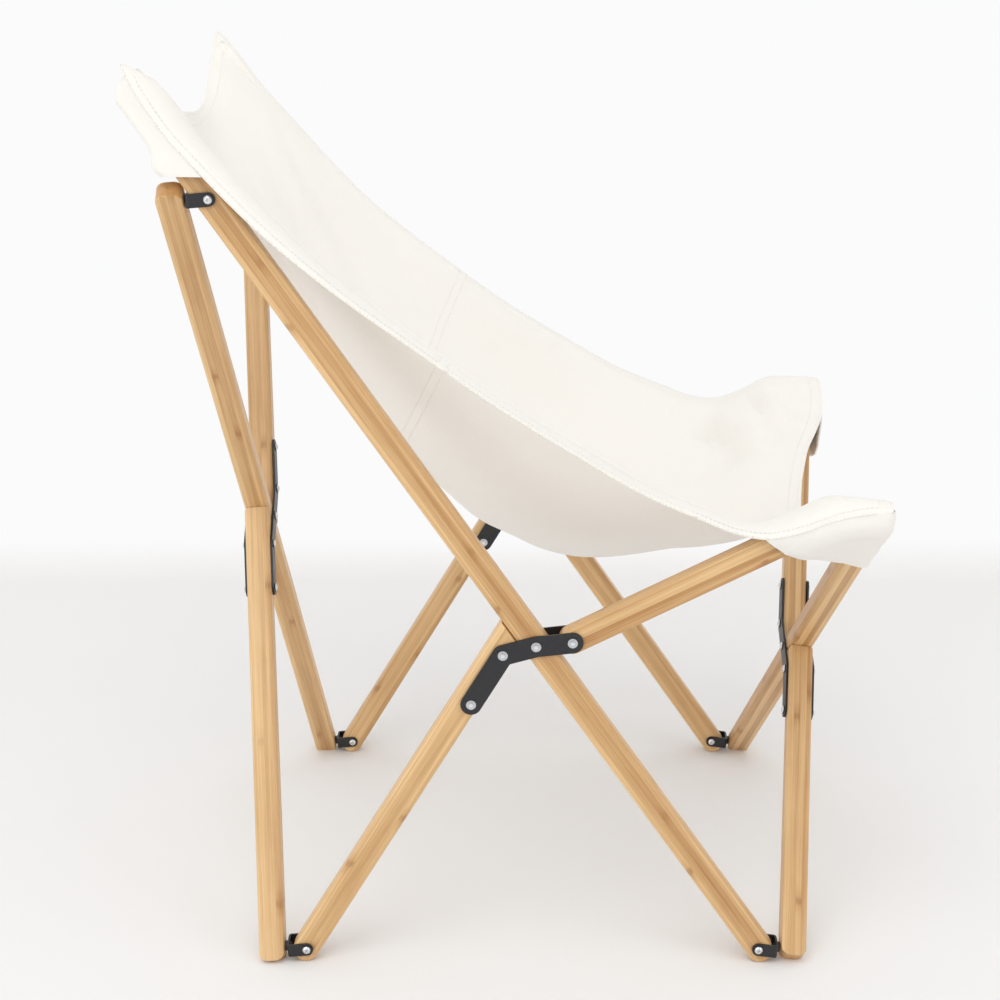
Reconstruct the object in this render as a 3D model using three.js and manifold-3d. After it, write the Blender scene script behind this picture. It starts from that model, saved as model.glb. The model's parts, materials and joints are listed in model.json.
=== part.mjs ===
// A folding sling chair: two crossed side frames joined by a crossed frame in front and one behind,
// with a canvas sling hung on the four upper tips.
// Millimetres and degrees. +Z is up, the chair faces -Y, and left and right are as seen from in front.
import * as THREE from "three";
import { mergeVertices } from "three/addons/utils/BufferGeometryUtils.js";
import Module from "manifold-3d";

const wasm = await Module();
wasm.setup();

// Stance: the two side frames stand upright and parallel, and everything else follows their pins.
const stance = {
  planeSpacing: 506, // centre to centre of the two side frames
  footPinSpan: 440, // front foot pin to rear foot pin
  frontPinHeight: 15,
  rearPinHeight: 14,
};

// Bamboo bar with rounded edges. A side frame lies flat and shows the width of its bars, which have
// full round ends. The bars of the end frames stand on edge, so that they look as wide from the side.
const bar = {
  width: 25,
  thickness: 19,
  edgeRadius: 3,
  edgeSteps: 2,
  endSteps: 8,
  cornerRadius: 9, // corners of an end frame's bar, seen from the side
  footFlat: 0.4, // worn flat under each round foot
};

// Long rail of a side frame, from the front foot past the pivot to the rear tip of the sling.
const rail = {
  leanDegrees: 55.45,
  footToPivot: 380.8,
  pivotToTopPin: 503.4,
  tipPastTopPin: 122,
};

// Short arm of a side frame, hinged on the plates and carrying the front tip of the sling.
const arm = {
  liftDegrees: 26.5,
  length: 268.5, // pin to pin
};

// What the folding needs: bars that lie side by side when closed are this far apart.
const folding = {
  barPitch: 27,
  edgePitch: 21, // the same between the bars of an end frame
  armPinPastPivot: 20.9, // arm pin beyond the pivot, along the leg
  stopGap: 0.5, // open rest position: cut end of a leg to the face of the bar it leans on
};

// Dog-leg plates that carry the pivot and the arm pin on the side leg.
const sidePlate = {
  width: 20,
  thickness: 2,
  boltInset: 5, // bolt line off the leg's centre line, towards the pivot
  upperBoltBelowPivot: 23.5,
  boltSpacing: 57.5,
};

// Z-shaped plates that join leg and arm of a crossed end frame round its centre pivot.
const endPlate = {
  width: 16,
  thickness: 2,
  boltInset: 3,
  innerBoltFromPivot: 35,
  boltSpacing: 47,
};

// U-shaped corner bracket: two ears over a side bar, its base against the end frame.
const bracket = {
  earWidth: 12.5,
  thickness: 2,
  pinToBack: 19,
  topPinToBack: 20.7, // rear top corner, where the leaning rail needs the room
  bendRadius: 3,
  bendSteps: 3,
};

const spacer = { thickness: 3, radius: 5 };
const swivelScrew = { radius: 2, depth: 14, headRadius: 3.6, headHeight: 1.4 };
const bolt = { radius: 2.5, headRadius: 3.4, headCrownRadius: 2.4, headEdge: 1.1, headHeight: 2.2 };
const fit = { seat: 0.3, bore: 0.3, overrun: 4, weld: 0.001 };
const roundSteps = 10;

// How far the bars of an end frame run past their swivels.
const rearReach = { foot: 14, top: 14 };
const frontReach = { foot: 9, top: 8.8 };

// Canvas sling: one hollow panel whose rim turns down over the bars, and a pocket at each corner.
const sling = {
  thickness: 2.4,
  pocketWall: 2,
  pocketEase: 1, // inside of a pocket to the bar in it
  rimPastBar: 9.8, // outermost reach from a side frame's bars at the corners
  waist: 12, // the free edges draw in by this between their tips
  landing: 15, // level strip along the crest, on the side of the seat
  shoulderDrop: 2.5, // where the rim starts to turn down, below its crest
  mouthAboveTopPin: 24,
  lengthSteps: 28,
};
// Lines along the panel in a side frame's plane, rear hem to front hem. Their first points follow the
// rail, along it from the top pin and forward of it, in bar widths. Then they hang from the top pin to
// the arm's pin, in shares of that distance, and the last points follow the arm in the same way.
const edgeShares = {
  rail: [
    [5.36, 0.42],
    [4.48, 0.24],
    [3.6, 0.19],
    [2.56, 0.18],
    [1.68, 0.28],
    [0.72, 0.4],
  ],
  span: [
    [0.102, -0.012],
    [0.201, -0.035],
    [0.35, -0.06],
    [0.498, -0.081],
    [0.625, -0.09],
    [0.725, -0.095],
    [0.822, -0.089],
    [0.887, -0.082],
  ],
  arm: [
    [-2.59, 0.57],
    [-1.5, 0.25],
    [-0.1, 0.09],
    [0.89, -0.16],
    [1.87, -0.56],
  ],
};
const crestShares = {
  rail: [
    [5.24, 0.46],
    [4.88, 0.8],
    [4.32, 0.84],
    [3.52, 0.8],
    [2.56, 0.8],
    [1.68, 0.86],
    [0.8, 0.96],
  ],
  span: [
    [0.091, 0.009],
    [0.196, -0.025],
    [0.348, -0.055],
    [0.497, -0.078],
    [0.623, -0.087],
    [0.724, -0.092],
    [0.82, -0.085],
    [0.884, -0.077],
  ],
  arm: [
    [-2.46, 0.78],
    [-1.19, 0.66],
    [0.12, 0.66],
    [1.2, 0.04],
    [1.95, -0.55],
  ],
};
const centreShares = {
  rail: [],
  span: [
    [-0.114, 0.039],
    [-0.051, -0.041],
    [0.024, -0.1],
    [0.118, -0.159],
    [0.214, -0.207],
    [0.31, -0.254],
    [0.4, -0.293],
    [0.498, -0.32],
    [0.596, -0.348],
    [0.636, -0.349],
    [0.699, -0.349],
    [0.749, -0.339],
    [0.788, -0.322],
    [0.841, -0.289],
    [0.885, -0.255],
    [0.937, -0.224],
    [0.991, -0.184],
    [1.052, -0.095],
  ],
  arm: [],
};
// How far the panel has risen from its centre line to its crest, at even steps across.
const riseShares = {
  rear: [0, 0.02, 0.085, 0.22, 0.43, 0.68, 0.89, 1],
  middle: [0, 0.011, 0.056, 0.143, 0.276, 0.461, 0.7, 1],
  front: [0, 0.1, 0.28, 0.43, 0.56, 0.7, 0.87, 1],
};
// Front pocket, mouth to inner end, each column from rim to hem. The first share is sideways, out to
// the rim or, where negative, in to the middle of the chair. The others are from the arm's pin, forward
// in depths of the front frame and up in bar widths.
const hoodShares = [
  [
    [0.96, -1.367, -0.82],
    [0.94, -1.219, -1.17],
    [0.91, -1.048, -1.45],
  ],
  [
    [0.98, -0.772, -0.75],
    [0.96, -0.75, -1.21],
    [0.85, -0.665, -1.61],
  ],
  [
    [1, -0.07, -0.27],
    [0.92, -0.133, -0.81],
    [0.21, -0.133, -1.85],
  ],
  [
    [1, 1.037, 0.2],
    [0.7, 1.02, -0.57],
    [-0.119, 0.922, -2.17],
  ],
  [
    [-0.059, 1.062, -0.09],
    [-0.111, 1.028, -0.73],
    [-0.229, 0.952, -1.77],
  ],
];

const halfBar = bar.width / 2;
const halfThickness = bar.thickness / 2;
const material = {
  bamboo: new THREE.MeshStandardMaterial({ color: 0xd6aa73, roughness: 0.55, metalness: 0 }),
  blackSteel: new THREE.MeshStandardMaterial({ color: 0x1b1b1d, roughness: 0.45, metalness: 0.3 }),
  zinc: new THREE.MeshStandardMaterial({ color: 0xc9cbce, roughness: 0.3, metalness: 1 }),
  canvas: new THREE.MeshStandardMaterial({ color: 0xf1ece1, roughness: 0.9, metalness: 0 }),
};

// Geometry helpers
function heading(degrees) {
  const angle = THREE.MathUtils.degToRad(degrees);
  return new THREE.Vector2(Math.cos(angle), Math.sin(angle));
}

function along(from, direction, distance) {
  return from.clone().addScaledVector(direction, distance);
}

function leftOf(direction) {
  return new THREE.Vector2(-direction.y, direction.x);
}

function solidOf(geometry, matrix = new THREE.Matrix4()) {
  const bare = geometry.clone();
  bare.deleteAttribute("normal");
  bare.deleteAttribute("uv");
  bare.applyMatrix4(matrix);
  const merged = mergeVertices(bare, fit.weld);
  return new wasm.Manifold(
    new wasm.Mesh({
      numProp: 3,
      vertProperties: new Float32Array(merged.attributes.position.array),
      triVerts: new Uint32Array(merged.index.array),
    }),
  );
}

function geometryOf(solid) {
  const mesh = solid.getMesh();
  const geometry = new THREE.BufferGeometry();
  geometry.setAttribute("position", new THREE.BufferAttribute(new Float32Array(mesh.vertProperties), 3));
  geometry.setIndex(new THREE.BufferAttribute(new Uint32Array(mesh.triVerts), 1));
  geometry.computeVertexNormals();
  return geometry;
}

function meshOf(name, solid, finish) {
  const mesh = new THREE.Mesh(geometryOf(solid), finish);
  mesh.name = name;
  return mesh;
}

// Turns a solid drawn along local X so that it runs from a point of a frame's plane along a direction.
function laidOut(at, direction) {
  const matrix = new THREE.Matrix4().makeRotationZ(Math.atan2(direction.y, direction.x));
  return matrix.setPosition(at.x, at.y, 0);
}

// Round hole or shaft through a frame's plane, centred on it.
function crossCylinder(at, radius, length) {
  const geometry = new THREE.CylinderGeometry(radius, radius, length, roundSteps).rotateX(Math.PI / 2);
  return solidOf(geometry, new THREE.Matrix4().makeTranslation(at.x, at.y, 0));
}

// Cylinder that starts in a point of a frame's plane and runs in that plane.
function planeCylinder(at, direction, start, end, radius) {
  const geometry = new THREE.CylinderGeometry(radius, radius, end - start, roundSteps);
  geometry.rotateZ(-Math.PI / 2).translate((start + end) / 2, 0, 0);
  return solidOf(geometry, laidOut(at, direction));
}

// Extrudes the outline of a bar through its depth, with the long edges rounded.
function roundedBar(outline, depth) {
  const geometry = new THREE.ExtrudeGeometry(outline, {
    depth: depth - 2 * bar.edgeRadius,
    bevelThickness: bar.edgeRadius,
    bevelSize: bar.edgeRadius,
    bevelOffset: -bar.edgeRadius,
    bevelSegments: bar.edgeSteps,
    curveSegments: bar.endSteps,
  });
  return geometry.translate(0, 0, bar.edgeRadius - depth / 2);
}

// A side frame's bar along local X between two round ends, or with its far end cut along a slant.
function flatBar(start, end, cutSlope = null) {
  const outline = new THREE.Shape();
  outline.absarc(start + halfBar, 0, halfBar, Math.PI / 2, (3 * Math.PI) / 2, false);
  if (cutSlope === null) {
    outline.absarc(end - halfBar, 0, halfBar, -Math.PI / 2, Math.PI / 2, false);
  } else {
    outline.lineTo(end - halfBar * cutSlope, -halfBar);
    outline.lineTo(end + halfBar * cutSlope, halfBar);
  }
  outline.closePath();
  return roundedBar(outline, bar.thickness);
}

// An end frame's bar along local X, on edge: square in the frame's plane, and with rounded corners
// seen from the side at its start and, unless that is cut along a slant, at its far end.
function edgeBar(start, end, cutSlope = null) {
  const slope = cutSlope ?? 0;
  const outline = new THREE.Shape();
  outline.moveTo(start, halfThickness);
  outline.lineTo(start, -halfThickness);
  outline.lineTo(end - halfThickness * slope, -halfThickness);
  outline.lineTo(end + halfThickness * slope, halfThickness);
  outline.closePath();
  const past = cutSlope === null ? end : end + bar.width;
  const radius = bar.cornerRadius;
  const face = new THREE.Shape();
  face.absarc(start + radius, radius - halfBar, radius, Math.PI, (3 * Math.PI) / 2, false);
  face.absarc(past - radius, radius - halfBar, radius, -Math.PI / 2, 0, false);
  face.absarc(past - radius, halfBar - radius, radius, 0, Math.PI / 2, false);
  face.absarc(start + radius, halfBar - radius, radius, Math.PI / 2, Math.PI, false);
  face.closePath();
  const cutter = new THREE.ExtrudeGeometry(face, {
    depth: bar.thickness + fit.overrun,
    bevelEnabled: false,
    curveSegments: bar.endSteps / 2,
  });
  cutter.translate(0, 0, -halfThickness - fit.overrun / 2).rotateX(Math.PI / 2);
  return solidOf(roundedBar(outline, bar.width)).intersect(solidOf(cutter));
}

// Band of constant width with round ends that follows a line of points, cut from sheet.
function platePath(points, width) {
  let shape = null;
  points.slice(1).forEach((point, i) => {
    const from = points[i];
    const length = from.distanceTo(point);
    const outline = new THREE.Shape();
    outline.absarc(0, 0, width / 2, Math.PI / 2, (3 * Math.PI) / 2, false);
    outline.absarc(length, 0, width / 2, -Math.PI / 2, Math.PI / 2, false);
    outline.closePath();
    const span = new THREE.ExtrudeGeometry(outline, {
      depth: width,
      bevelEnabled: false,
      curveSegments: roundSteps,
    });
    const solid = solidOf(span, laidOut(from, point.clone().sub(from)));
    shape = shape ? shape.add(solid) : solid;
  });
  return shape;
}

function slab(width, depth, low, high) {
  const box = new THREE.BoxGeometry(width, depth, high - low);
  return solidOf(box, new THREE.Matrix4().makeTranslation(0, 0, (low + high) / 2));
}

// The faces of a plate that lies on a bar, measured from the plane of the frame.
function plateLayers(plate, halfDepth) {
  const near = halfDepth + fit.seat;
  return { near, far: near + plate.thickness };
}

// Bolt with a low domed head at both ends, across a frame's plane.
function boltAcross(at, grip) {
  const inner = grip / 2 + fit.seat;
  const profile = [
    [0, -inner - bolt.headHeight],
    [bolt.headCrownRadius, -inner - bolt.headHeight],
    [bolt.headRadius, -inner - bolt.headEdge],
    [bolt.headRadius, -inner],
    [bolt.radius, -inner],
    [bolt.radius, inner],
    [bolt.headRadius, inner],
    [bolt.headRadius, inner + bolt.headEdge],
    [bolt.headCrownRadius, inner + bolt.headHeight],
    [0, inner + bolt.headHeight],
  ].map(([x, y]) => new THREE.Vector2(x, y));
  const geometry = new THREE.LatheGeometry(profile, roundSteps).rotateX(Math.PI / 2);
  return solidOf(geometry, new THREE.Matrix4().makeTranslation(at.x, at.y, 0));
}

// Side frame layout, in its own plane: x runs back along world Y, y runs up along world Z.
const side = {};
side.frontFoot = new THREE.Vector2(-stance.footPinSpan / 2, stance.frontPinHeight);
side.rearFoot = new THREE.Vector2(stance.footPinSpan / 2, stance.rearPinHeight);
side.railWay = heading(rail.leanDegrees);
side.pivot = along(side.frontFoot, side.railWay, rail.footToPivot);
side.railTop = along(side.pivot, side.railWay, rail.pivotToTopPin);
side.footToPivot = side.pivot.clone().sub(side.rearFoot);
side.legRun = Math.sqrt(side.footToPivot.lengthSq() - folding.barPitch ** 2);
side.legWay = side.footToPivot
  .clone()
  .rotateAround(new THREE.Vector2(), -Math.asin(folding.barPitch / side.footToPivot.length()))
  .normalize();
side.legSide = leftOf(side.legWay);
side.armPin = along(
  along(side.pivot, side.legWay, folding.armPinPastPivot),
  side.legSide,
  folding.barPitch,
);
side.armWay = heading(180 - arm.liftDegrees);
side.armTop = along(side.armPin, side.armWay, arm.length);
side.upperBolt = along(
  along(side.rearFoot, side.legWay, side.legRun - sidePlate.upperBoltBelowPivot),
  side.legSide,
  sidePlate.boltInset,
);
side.lowerBolt = along(side.upperBolt, side.legWay, -sidePlate.boltSpacing);

// How far a foot runs past its pin, so that its round end just reaches the floor.
function footReach(pinHeight, way) {
  return (pinHeight - halfBar + bar.footFlat) / way.y;
}

function floorCutter(width) {
  const depth = bar.width * 2;
  const box = new THREE.BoxGeometry(width, depth, width);
  return solidOf(box, new THREE.Matrix4().makeTranslation(0, -depth / 2, 0));
}

function drilled(solid, points) {
  return points.reduce(
    (left, at) => left.subtract(crossCylinder(at, bolt.radius + fit.bore, bar.width + fit.overrun)),
    solid,
  );
}

// Where a leg's slanted end stops: a line parallel to the bar that it leans on. The pitch is positive
// where the pivot lies to the left of the leg, and negative where it lies to its right.
function cutEnd(legRun, pitch, halfStop, legWay, stopWay) {
  const sine = legWay.cross(stopWay);
  const slope = legWay.dot(stopWay) / sine;
  const shortfall = (halfStop + folding.stopGap) / Math.abs(sine);
  return { end: legRun - shortfall - pitch * slope, slope };
}

function sideFrame(name, x) {
  const group = new THREE.Group();
  group.matrixAutoUpdate = false;
  group.matrix.makeBasis(
    new THREE.Vector3(0, 1, 0),
    new THREE.Vector3(0, 0, 1),
    new THREE.Vector3(1, 0, 0),
  );
  group.matrix.setPosition(x, 0, 0);
  const floor = floorCutter(stance.footPinSpan * 2);

  const railStart = -footReach(stance.frontPinHeight, side.railWay) - halfBar;
  const railEnd = rail.footToPivot + rail.pivotToTopPin + rail.tipPastTopPin;
  const railSolid = solidOf(flatBar(railStart, railEnd), laidOut(side.frontFoot, side.railWay));
  const railHoles = [side.frontFoot, side.pivot, side.railTop];
  group.add(meshOf(`rail_${name}`, drilled(railSolid.subtract(floor), railHoles), material.bamboo));

  const legStart = -footReach(stance.rearPinHeight, side.legWay) - halfBar;
  const cut = cutEnd(side.legRun, folding.barPitch, halfBar, side.legWay, side.railWay);
  const legSolid = solidOf(
    flatBar(legStart, cut.end, cut.slope),
    laidOut(side.rearFoot, side.legWay),
  );
  const legHoles = [side.rearFoot, side.lowerBolt, side.upperBolt];
  group.add(meshOf(`side_leg_${name}`, drilled(legSolid.subtract(floor), legHoles), material.bamboo));

  const armSolid = solidOf(
    flatBar(-halfBar, arm.length + halfBar),
    laidOut(side.armPin, side.armWay),
  );
  group.add(meshOf(`side_arm_${name}`, drilled(armSolid, [side.armPin, side.armTop]), material.bamboo));

  const route = [side.lowerBolt, side.upperBolt, side.pivot, side.armPin];
  const band = route.reduce(
    (left, at) => left.subtract(crossCylinder(at, bolt.radius + fit.bore, sidePlate.width * 4)),
    platePath(route, sidePlate.width),
  );
  const layers = plateLayers(sidePlate, halfThickness);
  [
    ["outer", Math.sign(x)],
    ["inner", -Math.sign(x)],
  ].forEach(([layer, way]) => {
    const plate = cutToLayer(band, way * layers.near, way * layers.far);
    group.add(meshOf(`side_plate_${layer}_${name}`, plate, material.blackSteel));
  });

  const grip = 2 * layers.far;
  [
    ["leg_bolt_lower", side.lowerBolt],
    ["leg_bolt_upper", side.upperBolt],
    ["pivot_bolt", side.pivot],
    ["arm_bolt", side.armPin],
  ].forEach(([label, at]) => {
    group.add(meshOf(`${label}_${name}`, boltAcross(at, grip), material.zinc));
  });

  sideCorners.forEach((corner) => {
    const turned = laidOut(corner.at, corner.back);
    const fixing = corner.fixings[x < 0 ? 0 : 1];
    const solid = bracketSolid(fixing).transform(turned.elements);
    group.add(meshOf(`${corner.name}_bracket_${name}`, solid, material.blackSteel));
    group.add(meshOf(`${corner.name}_pin_${name}`, boltAcross(corner.at, bracketWidth), material.zinc));
  });
  return group;
}

// Moves a band drawn from the plane upwards into one layer of the joint, and trims it to the sheet.
function cutToLayer(band, from, to) {
  const low = Math.min(from, to);
  const high = Math.max(from, to);
  const reach = stance.footPinSpan * 4;
  return band.translate([0, 0, low]).intersect(slab(reach, reach, low, high));
}

// Corner brackets: how the side pins and the planes of the end frames lie to each other.
const planeOffset = halfBar + spacer.thickness + bracket.pinToBack;
const bracketGap = bar.thickness + 2 * fit.seat;
const bracketWidth = bracketGap + 2 * bracket.thickness;

function endPlane(low, high, outward) {
  const up = high.clone().sub(low).normalize();
  const back = leftOf(up).multiplyScalar(-outward);
  return { up, back, rise: high.distanceTo(low), low: along(low, back, planeOffset) };
}

const rearPlane = endPlane(side.rearFoot, side.railTop, 1);
const frontPlane = endPlane(side.frontFoot, side.armTop, -1);

// A screwed bracket swivels on its end frame's bar, a spaced one stops just short of it, and a clear
// one stands off it inside the canvas, where the bar swings a little towards it as the chair folds.
const sideCorners = [
  { name: "rear_foot", at: side.rearFoot, back: rearPlane.back, fixings: ["screwed", "screwed"] },
  { name: "rear_top", at: side.railTop, back: rearPlane.back, fixings: ["flush", "flush"] },
  { name: "front_foot", at: side.frontFoot, back: frontPlane.back, fixings: ["screwed", "spaced"] },
  { name: "front_top", at: side.armTop, back: frontPlane.back, fixings: ["clear", "clear"] },
];

// U bent from strip with its pin at the origin and its base towards +X, ears either side of local Z.
function bracketSolid(fixing) {
  const outer = bracketWidth / 2;
  const inner = bracketGap / 2;
  const back = fixing === "flush" ? bracket.topPinToBack : bracket.pinToBack;
  const floorFace = back - bracket.thickness;
  const innerRadius = bracket.bendRadius - bracket.thickness;
  const tip = -bracket.earWidth / 2;
  const profile = new THREE.Shape();
  profile.moveTo(tip, -inner);
  profile.lineTo(tip, -outer);
  const bend = bracket.bendRadius;
  profile.absarc(back - bend, -outer + bend, bend, -Math.PI / 2, 0);
  profile.absarc(back - bend, outer - bend, bend, 0, Math.PI / 2);
  profile.lineTo(tip, outer);
  profile.lineTo(tip, inner);
  profile.absarc(floorFace - innerRadius, inner - innerRadius, innerRadius, Math.PI / 2, 0, true);
  profile.absarc(floorFace - innerRadius, -inner + innerRadius, innerRadius, 0, -Math.PI / 2, true);
  profile.closePath();
  const strip = new THREE.ExtrudeGeometry(profile, {
    depth: bracket.earWidth,
    bevelEnabled: false,
    curveSegments: bracket.bendSteps,
  });
  strip.translate(0, 0, -bracket.earWidth / 2).rotateX(Math.PI / 2);

  const face = new THREE.Shape();
  face.absarc(0, 0, bracket.earWidth / 2, Math.PI / 2, (3 * Math.PI) / 2, false);
  face.lineTo(back + fit.overrun, -bracket.earWidth / 2);
  face.lineTo(back + fit.overrun, bracket.earWidth / 2);
  face.closePath();
  const ears = new THREE.ExtrudeGeometry(face, {
    depth: bracketWidth + fit.overrun,
    bevelEnabled: false,
    curveSegments: bar.endSteps,
  });
  ears.translate(0, 0, -(bracketWidth + fit.overrun) / 2);

  const origin = new THREE.Vector2();
  const way = new THREE.Vector2(1, 0);
  let solid = solidOf(strip).intersect(solidOf(ears));
  solid = solid.subtract(crossCylinder(origin, bolt.radius + fit.bore, bracketWidth + fit.overrun));
  if (fixing !== "flush") {
    const head = floorFace - swivelScrew.headHeight;
    solid = solid.add(planeCylinder(origin, way, head, back, swivelScrew.headRadius));
  }
  if (fixing !== "clear") {
    const spacerFace = planeOffset - halfBar - fit.seat;
    solid = solid.add(planeCylinder(origin, way, floorFace, spacerFace, spacer.radius));
  }
  if (fixing === "screwed") {
    const end = planeOffset - halfBar + swivelScrew.depth;
    solid = solid.add(planeCylinder(origin, way, floorFace, end, swivelScrew.radius));
  }
  return solid;
}

// Crossed end frame: a whole bar from the left top to the right foot, and a leg and an arm that
// Z-shaped plates join round the centre pivot. Drawn round the pivot: x to the right, y up the plane.
function crossFrame(name, plane, reach, screwedFeet) {
  const group = new THREE.Group();
  group.matrixAutoUpdate = false;
  const xWay = new THREE.Vector3(1, 0, 0);
  const upWay = new THREE.Vector3(0, plane.up.x, plane.up.y);
  group.matrix.makeBasis(xWay, upWay, xWay.clone().cross(upWay));
  const middle = along(plane.low, plane.up, plane.rise / 2);
  group.matrix.setPosition(0, middle.x, middle.y);

  const halfWidth = stance.planeSpacing / 2;
  const corner = (x, y) => new THREE.Vector2(x * halfWidth, (y * plane.rise) / 2);
  const radius = corner(1, 1).length();
  const floor = floorInPlane(plane, middle);

  const wholeWay = corner(-1, 1).normalize();
  const wholeFoot = corner(1, -1);
  const wholeSolid = edgeBar(-reach.foot, 2 * radius + reach.top).transform(
    laidOut(wholeFoot, wholeWay).elements,
  );
  let whole = drilled(wholeSolid.subtract(floor), [new THREE.Vector2()]);
  if (screwedFeet.includes("right")) whole = whole.subtract(screwBore(wholeFoot, plane));
  group.add(meshOf(`${name}_long_bar`, whole, material.bamboo));

  // Leg and arm run beside the pivot by one bar pitch, on opposite sides of it.
  const run = Math.sqrt(radius ** 2 - folding.edgePitch ** 2);
  const offAxis = Math.asin(folding.edgePitch / radius);
  const legWay = corner(1, 1).rotateAround(new THREE.Vector2(), offAxis).normalize();
  const legFoot = corner(-1, -1);
  const cut = cutEnd(run, -folding.edgePitch, halfThickness, legWay, wholeWay);
  const legBar = edgeBar(-reach.foot, cut.end, cut.slope);
  const legSolid = legBar.transform(laidOut(legFoot, legWay).elements).subtract(floor);
  const inner = along(
    along(legFoot, legWay, run - endPlate.innerBoltFromPivot),
    leftOf(legWay),
    -endPlate.boltInset,
  );
  const outer = along(inner, legWay, -endPlate.boltSpacing);
  let leg = drilled(legSolid, [inner, outer]);
  if (screwedFeet.includes("left")) leg = leg.subtract(screwBore(legFoot, plane));
  group.add(meshOf(`${name}_leg`, leg, material.bamboo));

  const armTop = corner(1, 1);
  const armWay = legWay.clone().negate();
  const armBar = edgeBar(-reach.top, cut.end, cut.slope);
  const armBolts = [inner.clone().negate(), outer.clone().negate()];
  const armSolid = drilled(armBar.transform(laidOut(armTop, armWay).elements), armBolts);
  group.add(meshOf(`${name}_arm`, armSolid, material.bamboo));

  const centre = new THREE.Vector2();
  const route = [outer, inner, centre, ...armBolts];
  const band = route.reduce(
    (left, at) => left.subtract(crossCylinder(at, bolt.radius + fit.bore, endPlate.width * 4)),
    platePath(route, endPlate.width),
  );
  const layers = plateLayers(endPlate, halfBar);
  const outside = Math.sign(plane.back.x) * -1;
  [
    ["outer", outside],
    ["inner", -outside],
  ].forEach(([layer, way]) => {
    const plate = cutToLayer(band, way * layers.near, way * layers.far);
    group.add(meshOf(`${name}_plate_${layer}`, plate, material.blackSteel));
  });
  const grip = 2 * layers.far;
  [
    ["centre_bolt", centre],
    ["leg_bolt_low", outer],
    ["leg_bolt_high", inner],
    ["arm_bolt_low", armBolts[0]],
    ["arm_bolt_high", armBolts[1]],
  ].forEach(([label, at]) => {
    group.add(meshOf(`${name}_${label}`, boltAcross(at, grip), material.zinc));
  });
  return group;
}

// The floor as a block in an end frame's own coordinates.
function floorInPlane(plane, middle) {
  const size = stance.footPinSpan * 2;
  const box = new THREE.BoxGeometry(size, size, bar.width * 2);
  const inverse = new THREE.Matrix4();
  const xWay = new THREE.Vector3(1, 0, 0);
  const upWay = new THREE.Vector3(0, plane.up.x, plane.up.y);
  inverse.makeBasis(xWay, upWay, xWay.clone().cross(upWay));
  inverse.setPosition(0, middle.x, middle.y).invert();
  const under = new THREE.Matrix4().makeTranslation(0, 0, -bar.width);
  return solidOf(box, inverse.multiply(under));
}

// Blind bore for a corner screw, from the face of the bar that looks at the side frame.
function screwBore(at, plane) {
  const depth = swivelScrew.depth + fit.overrun;
  const radius = swivelScrew.radius + fit.bore;
  const inward = Math.sign(plane.back.x);
  const length = depth / 2;
  const geometry = new THREE.CylinderGeometry(radius, radius, depth, roundSteps).rotateX(Math.PI / 2);
  const middle = inward * (halfBar + fit.overrun / 2 - length);
  return solidOf(geometry, new THREE.Matrix4().makeTranslation(at.x, at.y, middle));
}

// Closed sheet of even thickness about a grid of points, whose faces look along the grid's normals.
function sheetSolid(grid, thickness) {
  const rows = grid.length;
  const columns = grid[0].length;
  const positions = [];
  [1, -1].forEach((face) => {
    grid.forEach((row, i) => {
      row.forEach((point, j) => {
        const downward = grid[Math.min(rows - 1, i + 1)][j].clone().sub(grid[Math.max(0, i - 1)][j]);
        const across = row[Math.min(columns - 1, j + 1)].clone().sub(row[Math.max(0, j - 1)]);
        const normal = across.cross(downward).normalize();
        const corner = point.clone().addScaledVector(normal, (face * thickness) / 2);
        positions.push(corner.x, corner.y, corner.z);
      });
    });
  });
  const index = [];
  const at = (face, i, j) => face * rows * columns + i * columns + j;
  const quad = (a, b, c, d) => index.push(a, b, c, a, c, d);
  for (let i = 0; i < rows - 1; i += 1) {
    for (let j = 0; j < columns - 1; j += 1) {
      quad(at(0, i, j), at(0, i, j + 1), at(0, i + 1, j + 1), at(0, i + 1, j));
      quad(at(1, i, j), at(1, i + 1, j), at(1, i + 1, j + 1), at(1, i, j + 1));
    }
  }
  for (let i = 0; i < rows - 1; i += 1) {
    const last = columns - 1;
    quad(at(0, i, 0), at(0, i + 1, 0), at(1, i + 1, 0), at(1, i, 0));
    quad(at(0, i, last), at(1, i, last), at(1, i + 1, last), at(0, i + 1, last));
  }
  for (let j = 0; j < columns - 1; j += 1) {
    const last = rows - 1;
    quad(at(0, 0, j), at(1, 0, j), at(1, 0, j + 1), at(0, 0, j + 1));
    quad(at(0, last, j), at(0, last, j + 1), at(1, last, j + 1), at(1, last, j));
  }
  const geometry = new THREE.BufferGeometry();
  geometry.setAttribute("position", new THREE.BufferAttribute(new Float32Array(positions), 3));
  geometry.setIndex(index);
  return solidOf(geometry);
}

// Canvas sling
const halfSpacing = stance.planeSpacing / 2;
const railTip = along(side.railTop, side.railWay, rail.tipPastTopPin);
const rimPastPlane = halfThickness + sling.rimPastBar;

// Points given along a direction and to one side of it, in shares of a length.
function pointsFrom(origin, way, sideWay, unit, shares) {
  return shares.map(([run, out]) => along(along(origin, way, run * unit), sideWay, out * unit));
}

function curveOf(shares) {
  const span = side.armTop.clone().sub(side.railTop);
  const spanWay = span.clone().normalize();
  const { railTop, railWay, armTop, armWay } = side;
  const points = [
    ...pointsFrom(railTop, railWay, leftOf(railWay), bar.width, shares.rail),
    ...pointsFrom(railTop, spanWay, leftOf(spanWay).negate(), span.length(), shares.span),
    ...pointsFrom(armTop, armWay, leftOf(armWay).negate(), bar.width, shares.arm),
  ];
  const inSpace = points.map((point) => new THREE.Vector3(point.x, point.y, 0));
  return new THREE.CatmullRomCurve3(inSpace, false, "centripetal");
}

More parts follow.
